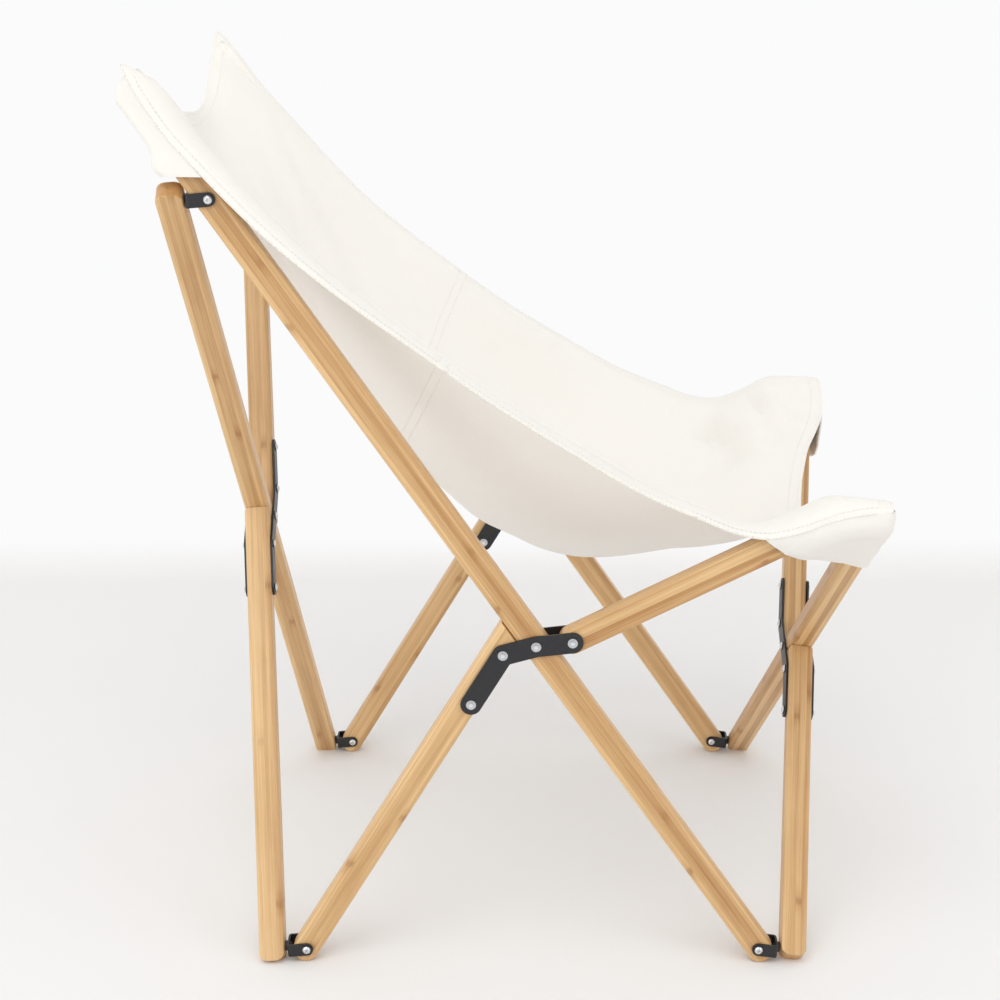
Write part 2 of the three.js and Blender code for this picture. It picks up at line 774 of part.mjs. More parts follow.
const edgeCurve = curveOf(edgeShares);
const crestCurve = curveOf(crestShares);
const centreCurve = curveOf(centreShares);
const riseCurves = Object.fromEntries(
  Object.entries(riseShares).map(([name, shares]) => [
    name,
    new THREE.SplineCurve(shares.map((share, i) => new THREE.Vector2(i, share))),
  ]),
);

// One row of the panel from side to side, at a share of the way from the rear hem to the front.
function slingRow(length) {
  const edge = edgeCurve.getPointAt(length);
  const crest = crestCurve.getPointAt(length);
  const centre = centreCurve.getPointAt(length);
  const middleness = Math.sin(Math.PI * length) ** 4;
  const rim = halfSpacing + rimPastPlane - sling.waist * middleness;
  const crestX = halfSpacing - sling.waist * middleness;
  const end = length < 1 / 2 ? riseCurves.rear : riseCurves.front;
  const half = [];
  const steps = riseShares.middle.length - 1;
  for (let i = 0; i <= steps; i += 1) {
    const share = i / steps;
    const risen = [end, riseCurves.middle].map((curve) => curve.getPoint(share).y);
    const rise = THREE.MathUtils.lerp(...risen, middleness);
    half.push([
      (crestX - sling.landing) * share,
      THREE.MathUtils.lerp(centre.x, crest.x, rise),
      THREE.MathUtils.lerp(centre.y, crest.y, rise),
    ]);
  }
  half.push([crestX, crest.x, crest.y]);
  const turn = Math.min(1 / 2, sling.shoulderDrop / crest.distanceTo(edge));
  const shoulder = crest.clone().lerp(edge, turn);
  const shoulderX = THREE.MathUtils.lerp(crestX, rim, 1 - middleness / 2);
  half.push([shoulderX, shoulder.x, shoulder.y]);
  half.push([rim, edge.x, edge.y]);
  const right = half.map(([x, back, up]) => new THREE.Vector3(x, back, up));
  const left = half.slice(1).map(([x, back, up]) => new THREE.Vector3(-x, back, up));
  return [...left.reverse(), ...right];
}

function slingPanel() {
  const { lengthSteps } = sling;
  const rows = Array.from({ length: lengthSteps + 1 }, (_, i) => slingRow(i / lengthSteps));
  return sheetSolid(rows, sling.thickness);
}

// Side view of a sleeve over the rail's tip, with a level mouth.
function sleeveOutline(half, mouth) {
  const front = leftOf(side.railWay);
  const cornerAt = (sideways) => {
    const start = along(side.railTop, front, sideways);
    return along(start, side.railWay, (mouth - start.y) / side.railWay.y);
  };
  const tip = along(railTip, side.railWay, -halfBar);
  const facing = side.railWay.angle();
  const [right, left] = [cornerAt(-half), cornerAt(half)];
  const outline = new THREE.Shape();
  outline.moveTo(left.x, left.y);
  outline.lineTo(right.x, right.y);
  outline.absarc(tip.x, tip.y, half, facing - Math.PI / 2, facing + Math.PI / 2, false);
  outline.closePath();
  return outline;
}

function prism(outline, halfDepth) {
  const geometry = new THREE.ExtrudeGeometry(outline, {
    depth: 2 * halfDepth,
    bevelEnabled: false,
    curveSegments: bar.endSteps,
  });
  return solidOf(geometry.translate(0, 0, -halfDepth));
}

function railPocket() {
  const mouth = side.railTop.y + sling.mouthAboveTopPin;
  const { pocketEase: ease, pocketWall: wall } = sling;
  const outer = sleeveOutline(halfBar + ease + wall, mouth);
  const inner = sleeveOutline(halfBar + ease, mouth - fit.overrun);
  return prism(outer, halfThickness + ease + wall).subtract(prism(inner, halfThickness + ease));
}

// Curved hood under the rim at the end of an arm, round the bracket and the top of the front frame.
function armPocket(outward) {
  const frontDepth = planeOffset + halfBar;
  const grid = hoodShares.map((column) =>
    column.map(([sideways, ahead, up]) => {
      const past = sideways * (sideways > 0 ? rimPastPlane : halfSpacing);
      const back = side.armTop.x - ahead * frontDepth;
      return new THREE.Vector3(back, side.armTop.y + up * bar.width, outward * past);
    }),
  );
  if (outward > 0) grid.reverse();
  return sheetSolid(grid, sling.pocketWall);
}

const chair = new THREE.Group();
[
  ["left", -halfSpacing],
  ["right", halfSpacing],
].forEach(([name, x]) => {
  const frame = sideFrame(name, x);
  frame.add(meshOf(`rail_pocket_${name}`, railPocket(), material.canvas));
  frame.add(meshOf(`arm_pocket_${name}`, armPocket(Math.sign(x)), material.canvas));
  chair.add(frame);
});
chair.add(crossFrame("rear", rearPlane, rearReach, ["left", "right"]));
chair.add(crossFrame("front", frontPlane, frontReach, ["left"]));
chair.add(meshOf("sling_panel", slingPanel(), material.canvas));

// The origin lies on the floor, under the middle of the whole chair.
chair.updateMatrixWorld(true);
const extent = new THREE.Box3().setFromObject(chair, true);
chair.position.y = -extent.getCenter(new THREE.Vector3()).y;

export default chair;
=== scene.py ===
import json
import math

import bpy
import numpy as np
from mathutils import Matrix, Vector


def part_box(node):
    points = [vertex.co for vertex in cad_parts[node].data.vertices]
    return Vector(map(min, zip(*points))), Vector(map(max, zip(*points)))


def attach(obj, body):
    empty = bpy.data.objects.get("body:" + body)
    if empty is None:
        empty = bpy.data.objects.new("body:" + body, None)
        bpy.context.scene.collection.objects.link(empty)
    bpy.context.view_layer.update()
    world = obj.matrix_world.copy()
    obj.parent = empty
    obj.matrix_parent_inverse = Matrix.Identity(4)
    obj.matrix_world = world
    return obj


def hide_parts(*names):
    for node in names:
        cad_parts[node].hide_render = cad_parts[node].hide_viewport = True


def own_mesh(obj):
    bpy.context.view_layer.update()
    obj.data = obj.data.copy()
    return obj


# Folding sling chair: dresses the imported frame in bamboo, black steel and zinc, and hangs the canvas.
# Metres in the frame of the parts. The tables of the canvas are in millimetres, with y from the
# middle of the foot pins.

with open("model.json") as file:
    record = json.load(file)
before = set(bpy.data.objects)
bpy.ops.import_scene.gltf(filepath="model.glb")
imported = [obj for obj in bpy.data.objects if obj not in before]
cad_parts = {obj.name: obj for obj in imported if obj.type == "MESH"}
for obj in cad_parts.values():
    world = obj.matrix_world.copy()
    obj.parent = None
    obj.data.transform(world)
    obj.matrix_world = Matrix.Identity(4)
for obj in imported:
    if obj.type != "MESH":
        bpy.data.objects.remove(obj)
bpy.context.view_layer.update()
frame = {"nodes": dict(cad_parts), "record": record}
behaviour = frame["record"]["behaviour"]
bodyOfNode = {node: body for body, nodes in behaviour["bodies"].items() for node in nodes}
mm = 0.001
pivotY = -4.04 * mm  # the side pivot, from the middle of the foot pins
pivotLow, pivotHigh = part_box("pivot_bolt_left")
frameShift = (pivotLow.y + pivotHigh.y) / 2 - pivotY
print("stage: parts loaded, shift", round(frameShift / mm, 3), "mm")


# camera and stage

view = {
    "lens": 69.156,
    "position": (-1.938, 0.001, 0.958),
    "yaw": 0.95,
    "pitch": 16.23,
    "roll": -0.33,
    "sensor": 36.0,
    "clipEnd": 40.0,
}
stage = {
    "wallX": 0.98,
    "floorReach": 7.0,
    "wallHeight": 4.5,
    "cornerRadius": 0.08,
    "cornerSteps": 10,
    "glowFrom": 0.004,  # between these heights the sweep turns from lit paper to plain white
    "glowTo": 0.05,
    "roughness": 0.85,
    "floorColor": (0.875, 0.872, 0.868, 1.0),
    "wallColor": (0.965, 0.965, 0.97, 1.0),
}
lamps = {
    "key": {"place": (-1.9, 0.5, 3.1), "size": 2.4, "watts": 24.0},
    "fill": {"place": (-2.4, 2.2, 1.1), "size": 2.2, "watts": 14.0},
    "front": {"place": (-1.6, -2.6, 1.6), "size": 2.2, "watts": 11.0},
    "aim": (0, 0, 0.45),
    "world": 0.83,
}


def newObject(name, data):
    made = bpy.data.objects.new(name, data)
    bpy.context.scene.collection.objects.link(made)
    return made


def makeCamera():
    yaw, pitch, roll = (math.radians(view[angle]) for angle in ("yaw", "pitch", "roll"))
    level = math.cos(pitch)
    ahead = Vector((level * math.cos(yaw), level * math.sin(yaw), -math.sin(pitch)))
    right = ahead.cross(Vector((0, 0, 1))).normalized()
    up = right.cross(ahead)
    tiltedRight = right * math.cos(roll) + up * math.sin(roll)
    tiltedUp = up * math.cos(roll) - right * math.sin(roll)
    data = bpy.data.cameras.new("photoCamera")
    data.lens, data.sensor_width, data.clip_end = view["lens"], view["sensor"], view["clipEnd"]
    camera = newObject("photoCamera", data)
    turn = Matrix((tiltedRight, tiltedUp, -ahead)).transposed().to_4x4()
    place = Vector(view["position"]) + Vector((0, frameShift, 0))
    camera.matrix_world = Matrix.Translation(place) @ turn
    bpy.context.scene.camera = camera


def makeLamps():
    for name in ("key", "fill", "front"):
        lamp = lamps[name]
        data = bpy.data.lights.new(name, "AREA")
        data.size = lamp["size"]
        data.energy = lamp["watts"]
        place = Vector(lamp["place"])
        turn = (Vector(lamps["aim"]) - place).to_track_quat("-Z", "Y")
        newObject(name, data).matrix_world = Matrix.Translation(place) @ turn.to_matrix().to_4x4()
    world = bpy.data.worlds.new("studio")
    bpy.context.scene.world = world
    world.use_nodes = True
    background = world.node_tree.nodes["Background"]
    background.inputs["Color"].default_value = (1, 1, 1, 1)
    background.inputs["Strength"].default_value = lamps["world"]
    bpy.context.scene.view_settings.view_transform = "Standard"


# node helpers


def addNode(tree, kind, values=None, **settings):
    made = tree.nodes.new(kind)
    for name, value in settings.items():
        setattr(made, name, value)
    for socket, value in (values or {}).items():
        if isinstance(value, bpy.types.NodeSocket):
            tree.links.new(value, made.inputs[socket])
        else:
            made.inputs[socket].default_value = value
    return made


def calc(tree, operation, first, second=None, third=None, clamp=False):
    values = {0: first}
    if second is not None:
        values[1] = second
    if third is not None:
        values[2] = third
    return addNode(tree, "ShaderNodeMath", values, operation=operation, use_clamp=clamp).outputs[0]


def smoothBand(tree, value, low, high):
    values = {"Value": value, "From Min": low, "From Max": high, "To Min": 0.0, "To Max": 1.0}
    made = addNode(tree, "ShaderNodeMapRange", values, interpolation_type="SMOOTHSTEP")
    return made.outputs["Result"]


def stretched(tree, vector, scales):
    return addNode(tree, "ShaderNodeVectorMath", {0: vector, 1: scales}, operation="MULTIPLY").outputs[0]


def noise(tree, vector, scale, detail, roughness):
    values = {"Vector": vector, "Scale": scale, "Detail": detail, "Roughness": roughness}
    return addNode(tree, "ShaderNodeTexNoise", values).outputs["Fac"]


def blendColors(tree, share, first, second):
    mix = addNode(tree, "ShaderNodeMix", {0: share, 6: first, 7: second}, data_type="RGBA")
    return mix.outputs[2]


surface = {"Color": "Color", "Roughness": "Float", "Height": "Float"}  # what each group puts out


def newGroup(name, inputs):
    group = bpy.data.node_groups.new(name, "ShaderNodeTree")
    for side, sockets in (("INPUT", inputs), ("OUTPUT", surface)):
        for label, kind in sockets.items():
            group.interface.new_socket(label, in_out=side, socket_type="NodeSocket" + kind)
    return group, group.nodes.new("NodeGroupInput"), group.nodes.new("NodeGroupOutput")


def putOut(tree, result, color, roughness, height):
    for label, value in zip(surface, (color, roughness, height)):
        tree.links.new(value, result.inputs[label])


bamboo = {
    "strip": 6.45 * mm,  # width of one laminated strip
    "nodesPerMetre": 3.1,
    "dark": (0.43, 0.205, 0.058, 1),
    "light": (0.90, 0.625, 0.315, 1),
    "nodeColor": (0.34, 0.155, 0.05, 1),
    "endColor": (0.56, 0.29, 0.10, 1),
    "grains": {  # scales along, through and across the bar, then detail and roughness
        "fibre": ((9, 1500, 1500), 4, 0.62),
        "broad": ((5, 240, 240), 3, 0.55),
        "cloud": ((14, 60, 60), 3, 0.6),
        "pores": ((7, 2600, 2600), 2, 0.5),
    },
    "grainShares": (0.90, 0.95, 0.35),  # how far the first three of them move the tone
}


def makeBambooGroup():
    sockets = {"Along": "Vector", "HalfThick": "Float", "HalfWide": "Float", "Bar": "Float"}
    tree, source, result = newGroup("laminatedBamboo", sockets)
    along = source.outputs["Along"]
    x, y, z = addNode(tree, "ShaderNodeSeparateXYZ", {0: along}).outputs
    cells = []
    glue = None
    # three strips through the bar and four across it, a little wider than a share so that no
    # joint falls on a face
    for across, start in ((y, 0.5), (z, 0.0)):
        place = calc(tree, "MULTIPLY_ADD", across, 1 / bamboo["strip"], start)
        cells.append(calc(tree, "FLOOR", place))
        part = calc(tree, "FRACT", place)
        toEdge = calc(tree, "MINIMUM", part, calc(tree, "SUBTRACT", 1.0, part))
        line = calc(tree, "SUBTRACT", 1.0, smoothBand(tree, toEdge, 0.012, 0.05))
        glue = line if glue is None else calc(tree, "MAXIMUM", glue, line)
    cell = addNode(tree, "ShaderNodeCombineXYZ", {0: cells[0], 1: cells[1], 2: source.outputs["Bar"]})
    dice = addNode(tree, "ShaderNodeTexWhiteNoise", {"Vector": cell.outputs[0]})
    tone, phase, rarity = addNode(tree, "ShaderNodeSeparateColor", {0: dice.outputs["Color"]}).outputs
    fibre, broad, cloud, pores = (
        noise(tree, stretched(tree, along, scales), 1, detail, roughness)
        for scales, detail, roughness in bamboo["grains"].values()
    )
    pores = smoothBand(tree, pores, 0.60, 0.74)
    # darker nodes: a thin mark and a soft halo, on some of the strips
    place = calc(tree, "MULTIPLY_ADD", x, bamboo["nodesPerMetre"], calc(tree, "MULTIPLY", phase, 9.7))
    place = calc(tree, "MULTIPLY_ADD", cloud, 0.05, place)
    part = calc(tree, "FRACT", place)
    reach = calc(tree, "ABSOLUTE", calc(tree, "SUBTRACT", part, 0.5))
    wanted = smoothBand(tree, rarity, 0.28, 0.50)
    mark = calc(tree, "SUBTRACT", 1.0, smoothBand(tree, reach, 0.003, 0.017))
    halo = calc(tree, "SUBTRACT", 1.0, smoothBand(tree, reach, 0.006, 0.055))
    mark = calc(tree, "MULTIPLY", mark, wanted)
    mark = calc(tree, "MULTIPLY", mark, smoothBand(tree, fibre, 0.30, 0.62))
    halo = calc(tree, "MULTIPLY", halo, wanted)
    share = calc(tree, "MULTIPLY_ADD", tone, 0.50, 0.22)
    for grain, weight in zip((fibre, broad, cloud), bamboo["grainShares"]):
        share = calc(tree, "MULTIPLY_ADD", calc(tree, "SUBTRACT", grain, 0.5), weight, share)
    share = calc(tree, "MULTIPLY_ADD", halo, -0.20, share, clamp=True)
    color = blendColors(tree, share, bamboo["dark"], bamboo["light"])
    for mask, weight, tint in ((pores, 0.22, "dark"), (mark, 0.66, "nodeColor"), (glue, 0.20, "nodeColor")):
        color = blendColors(tree, calc(tree, "MULTIPLY", mask, weight), color, bamboo[tint])
    # only the end of a bar, or a hole in it, lies inside all four of its long faces
    inY = calc(tree, "SUBTRACT", source.outputs["HalfThick"], calc(tree, "ABSOLUTE", y))
    inZ = calc(tree, "SUBTRACT", source.outputs["HalfWide"], calc(tree, "ABSOLUTE", z))
    end = smoothBand(tree, calc(tree, "MINIMUM", inY, inZ), 0.9 * mm, 1.7 * mm)
    dots = calc(tree, "MULTIPLY", smoothBand(tree, noise(tree, along, 1100, 2, 0.6), 0.48, 0.64), 0.35)
    endTone = blendColors(tree, dots, bamboo["endColor"], bamboo["nodeColor"])
    color = blendColors(tree, calc(tree, "MULTIPLY", end, 0.80), color, endTone)
    height = calc(tree, "MULTIPLY_ADD", mark, 0.45, calc(tree, "MULTIPLY", fibre, 0.45))
    height = calc(tree, "MULTIPLY_ADD", glue, -0.35, height)
    height = calc(tree, "MULTIPLY_ADD", pores, -0.30, height)
    rough = calc(tree, "MULTIPLY_ADD", fibre, 0.22, 0.34)
    putOut(tree, result, color, rough, height)
    return tree


steel = {
    "coat": (0.009, 0.009, 0.0115, 1),
    "worn": (0.085, 0.085, 0.09, 1),
    "zinc": (0.74, 0.755, 0.78, 1),
    "zincDull": (0.50, 0.51, 0.53, 1),
    # near black laid over the zinc as painted shade, round each bolt head and at the bottom of its recess
    "paintedShade": (0.025, 0.025, 0.028, 1),
}


def makeSteelGroup():
    sockets = {"Place": "Vector", "Main": "Color", "Second": "Color", "PaintedShadeShare": "Vector"}
    sockets.update({"Spread": "Float", "BaseRoughness": "Float"})
    tree, source, result = newGroup("satinCoat", sockets)
    place = source.outputs["Place"]
    # the first channel of this map is the share of painted shade: it darkens the colour towards the painted
    # shade colour
    paintedShadeAmount = addNode(tree, "ShaderNodeSeparateXYZ", {0: source.outputs["PaintedShadeShare"]}).outputs[0]
    peel = noise(tree, place, 1900, 2, 0.5)
    cloud = noise(tree, place, 120, 3, 0.6)
    rubbed = smoothBand(tree, noise(tree, place, 420, 4, 0.7), 0.56, 0.78)
    share = calc(tree, "MULTIPLY", rubbed, source.outputs["Spread"])
    color = blendColors(tree, share, source.outputs["Main"], source.outputs["Second"])
    color = blendColors(tree, paintedShadeAmount, color, steel["paintedShade"])
    rough = calc(tree, "MULTIPLY_ADD", cloud, 0.20, source.outputs["BaseRoughness"])
    putOut(tree, result, color, rough, peel)
    return tree


canvas = {
    "color": (0.905, 0.880, 0.832, 1),
    "shade": (0.835, 0.80, 0.735, 1),
    "fleck": (0.40, 0.31, 0.20, 1),
    "thread": 0.85 * mm,
    "slub": (45, 1150),  # noise scales along a thread and across it
    "flecks": (48, 48, 1),
}


def makeCanvasGroup():
    tree, source, result = newGroup("canvasWeave", {"Cloth": "Vector", "Place": "Vector"})
    cloth = source.outputs["Cloth"]
    split = addNode(tree, "ShaderNodeSeparateXYZ", {0: cloth})
    threads = []
    for way in (0, 1):
        angle = calc(tree, "MULTIPLY", split.outputs[way], math.pi / canvas["thread"])
        threads.append(calc(tree, "SINE", angle))
    crossing = calc(tree, "MULTIPLY", threads[0], threads[1])
    ridges = calc(tree, "ADD", *(calc(tree, "ABSOLUTE", wave) for wave in threads))
    weave = calc(tree, "MULTIPLY_ADD", crossing, 0.40, calc(tree, "MULTIPLY", ridges, 0.45))
    slow, quick = canvas["slub"]
    ways = ((slow, quick, 1), (quick, slow, 1))
    slubs = calc(tree, "ADD", *(noise(tree, stretched(tree, cloth, way), 1, 2, 0.5) for way in ways))
    creases = noise(tree, source.outputs["Place"], 26, 4, 0.6)
    patches = noise(tree, source.outputs["Place"], 7, 3, 0.6)
    soiled = calc(tree, "MULTIPLY", smoothBand(tree, patches, 0.35, 0.75), 0.22)
    share = calc(tree, "MULTIPLY_ADD", calc(tree, "SUBTRACT", slubs, 1.0), 0.55, soiled, clamp=True)
    color = blendColors(tree, share, canvas["color"], canvas["shade"])
    spots = {"Vector": stretched(tree, cloth, canvas["flecks"]), "Scale": 1.0, "Randomness": 1.0}
    grains = addNode(tree, "ShaderNodeTexVoronoi", spots)
    seed = calc(tree, "SUBTRACT", 1.0, smoothBand(tree, grains.outputs["Distance"], 0.012, 0.028))
    color = blendColors(tree, calc(tree, "MULTIPLY", seed, 0.34), color, canvas["fleck"])
    height = calc(tree, "MULTIPLY_ADD", slubs, 0.55, weave)
    height = calc(tree, "MULTIPLY_ADD", creases, 1.6, height)
    rough = calc(tree, "MULTIPLY_ADD", slubs, 0.08, 0.82)
    putOut(tree, result, color, rough, height)
    return tree


thread = {"color": (0.90, 0.885, 0.84, 1), "shade": (0.70, 0.655, 0.57, 1), "ply": 900}


def makeThreadGroup():
    tree, source, result = newGroup("spunCotton", {"Place": "Vector"})
    place = source.outputs["Place"]
    ply = noise(tree, place, thread["ply"], 2, 0.5)
    tone = noise(tree, place, 60, 3, 0.6)
    color = blendColors(tree, smoothBand(tree, ply, 0.35, 0.75), thread["color"], thread["shade"])
    rough = calc(tree, "MULTIPLY_ADD", tone, 0.2, 0.7)
    putOut(tree, result, color, rough, ply)
    return tree


def makeMaterial(name, group, values, plain, bump, uvMap=None, mapping=None):
    material = bpy.data.materials.new(name)
    material.use_nodes = True
    tree = material.node_tree
    shader = tree.nodes["Principled BSDF"]
    place = addNode(tree, "ShaderNodeTexCoord").outputs["Object"]
    if mapping:
        location, turn = mapping
        centred = {"Vector": place, "Location": location, "Rotation": turn}
        place = addNode(tree, "ShaderNodeMapping", centred, vector_type="TEXTURE").outputs[0]
    effect = addNode(tree, "ShaderNodeGroup")
    effect.node_tree = group
    for label, value in values.items():
        if value == "place":
            tree.links.new(place, effect.inputs[label])
        elif value == "uv":
            tree.links.new(addNode(tree, "ShaderNodeUVMap", uv_map=uvMap).outputs[0], effect.inputs[label])
        else:
            effect.inputs[label].default_value = value
    tree.links.new(effect.outputs["Color"], shader.inputs["Base Color"])
    tree.links.new(effect.outputs["Roughness"], shader.inputs["Roughness"])
    depth, strength = bump
    relief = {"Strength": strength, "Distance": depth, "Height": effect.outputs["Height"]}
    tree.links.new(addNode(tree, "ShaderNodeBump", relief).outputs[0], shader.inputs["Normal"])
    for label, value in plain.items():
        shader.inputs[label].default_value = value
    return material


def makeStage():
    reach, wall, radius = stage["floorReach"], stage["wallX"], stage["cornerRadius"]
    profile = [(-reach, 0.0)]
    for step in range(stage["cornerSteps"] + 1):
        angle = math.pi / 2 * step / stage["cornerSteps"]
        profile.append((wall - radius + radius * math.sin(angle), radius - radius * math.cos(angle)))
    profile.append((wall, stage["wallHeight"]))
    points = [(x, y, z) for x, z in profile for y in (-reach, reach)]
    faces = [(2 * i, 2 * i + 2, 2 * i + 3, 2 * i + 1) for i in range(len(profile) - 1)]
    mesh = bpy.data.meshes.new("studioSweep")
    mesh.from_pydata(points, [], faces)
    mesh.shade_smooth()
    material = bpy.data.materials.new("studioPaper")
    material.use_nodes = True
    tree = material.node_tree
    shader = tree.nodes["Principled BSDF"]
    shader.inputs["Base Color"].default_value = stage["floorColor"]
    shader.inputs["Roughness"].default_value = stage["roughness"]
    glow = addNode(tree, "ShaderNodeEmission", {"Color": stage["wallColor"], "Strength": 1.0})
    place = addNode(tree, "ShaderNodeTexCoord")
    height = addNode(tree, "ShaderNodeSeparateXYZ", {0: place.outputs["Object"]}).outputs[2]
    up = smoothBand(tree, height, stage["glowFrom"], stage["glowTo"])
    light = addNode(tree, "ShaderNodeLightPath")
    seen = calc(tree, "MAXIMUM", light.outputs["Is Camera Ray"], light.outputs["Is Glossy Ray"])
    share = calc(tree, "MULTIPLY", up, seen)
    mix = addNode(tree, "ShaderNodeMixShader", {0: share, 1: shader.outputs[0], 2: glow.outputs[0]})
    tree.links.new(mix.outputs[0], tree.nodes["Material Output"].inputs["Surface"])
    mesh.materials.append(material)
    newObject("studioSweep", mesh)


makeCamera()
makeLamps()
makeStage()
bambooGroup = makeBambooGroup()
steelGroup = makeSteelGroup()
canvasGroup = makeCanvasGroup()
threadGroup = makeThreadGroup()
blackSteel = makeMaterial(
    "blackSteel",
    steelGroup,
    {"Place": "place", "Main": steel["coat"], "Second": steel["worn"], "Spread": 0.35, "BaseRoughness": 0.30},
    {"Metallic": 0.0, "Specular IOR Level": 0.55},
    bump=(0.05 * mm, 0.35),
)
zinc = makeMaterial(
    "zincSteel",
    steelGroup,
    {
        "Place": "place",
        "Main": steel["zinc"],
        "Second": steel["zincDull"],
        "Spread": 0.5,
        "BaseRoughness": 0.14,
        # painted shade for the ring round each bolt head and for its recess comes in through this map
        "PaintedShadeShare": "uv",
    },
    {"Metallic": 1.0},
    bump=(0.03 * mm, 0.25),
    uvMap="paintedShadeUv",
)
canvasCloth = makeMaterial(
    "canvasCloth",
    canvasGroup,
    {"Cloth": "uv", "Place": "place"},
    {"Sheen Weight": 0.20, "Sheen Roughness": 0.45, "Specular IOR Level": 0.25},
    bump=(0.22 * mm, 0.55),
    uvMap="clothMetres",
)
threadCotton = makeMaterial(
    "threadCotton",
    threadGroup,
    {"Place": "place"},
    {"Sheen Weight": 0.25, "Specular IOR Level": 0.3},
    bump=(0.1 * mm, 0.5),
)
print("stage: camera, lamps and finishes made")


# bamboo bars keep their solids and get a grain that runs along each of them

barNodes = (
    "rail_left", "rail_right", "side_leg_left", "side_leg_right", "side_arm_left", "side_arm_right",
    "rear_long_bar", "rear_leg", "rear_arm", "front_long_bar", "front_leg", "front_arm",
)


def valuesOf(items, name, size):
    found = np.empty(len(items) * size)
    items.foreach_get(name, found)
    return found.reshape(-1, size)


def unit(vectors):
    return vectors / np.linalg.norm(vectors, axis=-1, keepdims=True)


def barFrame(mesh):
    # the two largest directions of faces give the thickness and, crossed, the way along the bar
    sums = {}
    for normal, area in zip(valuesOf(mesh.polygons, "normal", 3), valuesOf(mesh.polygons, "area", 1)):
        normal = normal * np.sign(normal[np.argmax(np.abs(normal))])
        key = tuple(np.round(normal, 2))
        sums[key] = sums.get(key, 0) + normal * area
    ranked = [unit(total) for total in sorted(sums.values(), key=np.linalg.norm, reverse=True)]
    face = ranked[0]
    other = next(normal for normal in ranked if abs(normal @ face) < 0.05)
    axis = unit(np.cross(face, other))
    turn = np.stack([axis, face, np.cross(axis, face)], axis=1)
    local = valuesOf(mesh.vertices, "co", 3) @ turn
    low, high = local.min(axis=0), local.max(axis=0)
    centre = turn @ ((low + high) / 2)
    halves = (high - low) / 2
    return Vector(centre), Matrix(turn.tolist()).to_euler(), float(halves[1]), float(halves[2])


for number, node in enumerate(barNodes):
    bar = frame["nodes"][node]
    centre, turn, halfThick, halfWide = barFrame(bar.data)
    bar.material_slots[0].material = makeMaterial(
        "bamboo_" + node,
        bambooGroup,
        {"Along": "place", "HalfThick": halfThick, "HalfWide": halfWide, "Bar": float(number)},
        {"Coat Weight": 0.30, "Coat Roughness": 0.32, "Specular IOR Level": 0.5},
        bump=(0.25 * mm, 0.5),
        mapping=(centre, turn),
    )
for node, piece in frame["nodes"].items():
    if "bracket" in node or "plate" in node:
        piece.material_slots[0].material = blackSteel
print("stage: bars and plates dressed")


# canvas: shape tables

sling = {
    "rows": 150,
    "halfColumns": 34,
    "bandColumns": 3,
    "turnColumns": 7,
    "plane": 253.0,  # middle of a side frame, out from the middle of the chair
    "rimPast": 19.3,
    "waist": 12.0,  # how far each crest draws in half way along
    "landing": 15.0,
    "kneeShare": 0.15,
    "joinX": 232.0,  # where the side strips meet the panel between them
    "thickness": 1.7,
    "hemExtra": 0.9,
    "hemWidth": 17.0,
    "hemStep": 1.2,  # length over which a hem's extra thickness ends
    "rearReach": 75.0,  # how far in from a hem its own line still shapes the cloth
    "frontReach": 42.0,
    "rearStripEnd": 0.47,  # share of the length where the strips that stay on the rails end
    "frontStripStart": 0.78,
    "foldRow": 0.635,  # where the panel creases as the chair closes
    "backSeam": 0.455,
    "seamWidth": 7.0,
    "seamShare": 0.7,  # of the extra thickness of a hem
    "wave": 1.1,  # height of the long shallow waves
    "waveLengths": (63, 41, 57),
    "stillRim": 14.0,  # no waves or creases this far in from the side frames
    "growAcross": 40.0,  # and this far on, or along from a hem, they have their full height
    "growAlong": 30.0,
    "leastAtHem": 0.15,
}
edgeLine = [
    (348.8, 859.6), (340, 838.9), (328.6, 820), (314, 798.5), (299.5, 781.8), (283.4, 763.8),
    (228, 707), (179, 665), (103, 608), (26, 553), (-42, 511), (-97, 479), (-153, 454),
    (-191, 439.5), (-214, 436), (-242, 441), (-275, 453), (-300, 458.5), (-326.5, 460.5),
]
crestLine = [
    (347.9, 859), (337.5, 854.2), (327, 844), (314.9, 827.1), (301.3, 807.3), (287.5, 790),
    (273, 773.3), (228, 722), (179, 672), (103, 611), (26, 555), (-42, 513), (-97, 481),
    (-153, 457), (-191, 443), (-215, 441.5), (-245, 452.7), (-274, 467.6), (-305, 466.3),
    (-328, 462),
]
centreLine = [
    (334, 798), (322, 735), (297, 680), (262, 620), (222, 565), (182, 511), (143, 463), (96, 419),
    (49, 375), (27, 363), (-8, 344.5), (-39, 335.5), (-66, 333.5), (-105, 337), (-140, 343),
    (-178, 345), (-220, 352), (-280, 384),
]
rearHem = [
    (-272.3, 348.8, 859.6), (-262, 339.5, 853), (-253, 335.5, 849.5), (-240, 331, 839.5),
    (-220, 326.5, 826.5), (-200, 322.5, 817), (-170, 325, 812), (-130, 330, 808), (-90, 334, 804),
    (-40, 337, 799.5), (0, 340, 796.5), (50, 345, 792), (100, 350, 789), (150, 353.5, 790),
    (180, 352, 802), (200, 352, 817), (222, 352.5, 833), (240, 353.5, 847), (253, 354, 857),
    (262, 353, 862), (272.3, 348.8, 860.5),
]
frontHem = [
    (-272.3, -326.5, 460.5), (-266, -327, 464), (-253, -329, 465), (-240, -329, 460),
    (-222, -327.5, 447.5), (-200, -323, 437), (-165, -314, 428), (-120, -302, 418),
    (-60, -290, 398), (0, -282, 384.5), (60, -291, 398), (120, -305, 417.5), (165, -321, 427.5),
    (200, -332, 435), (222, -335.5, 447), (240, -336, 460), (253, -335, 465),
    (266, -332, 464), (272.3, -330, 460.5),
]
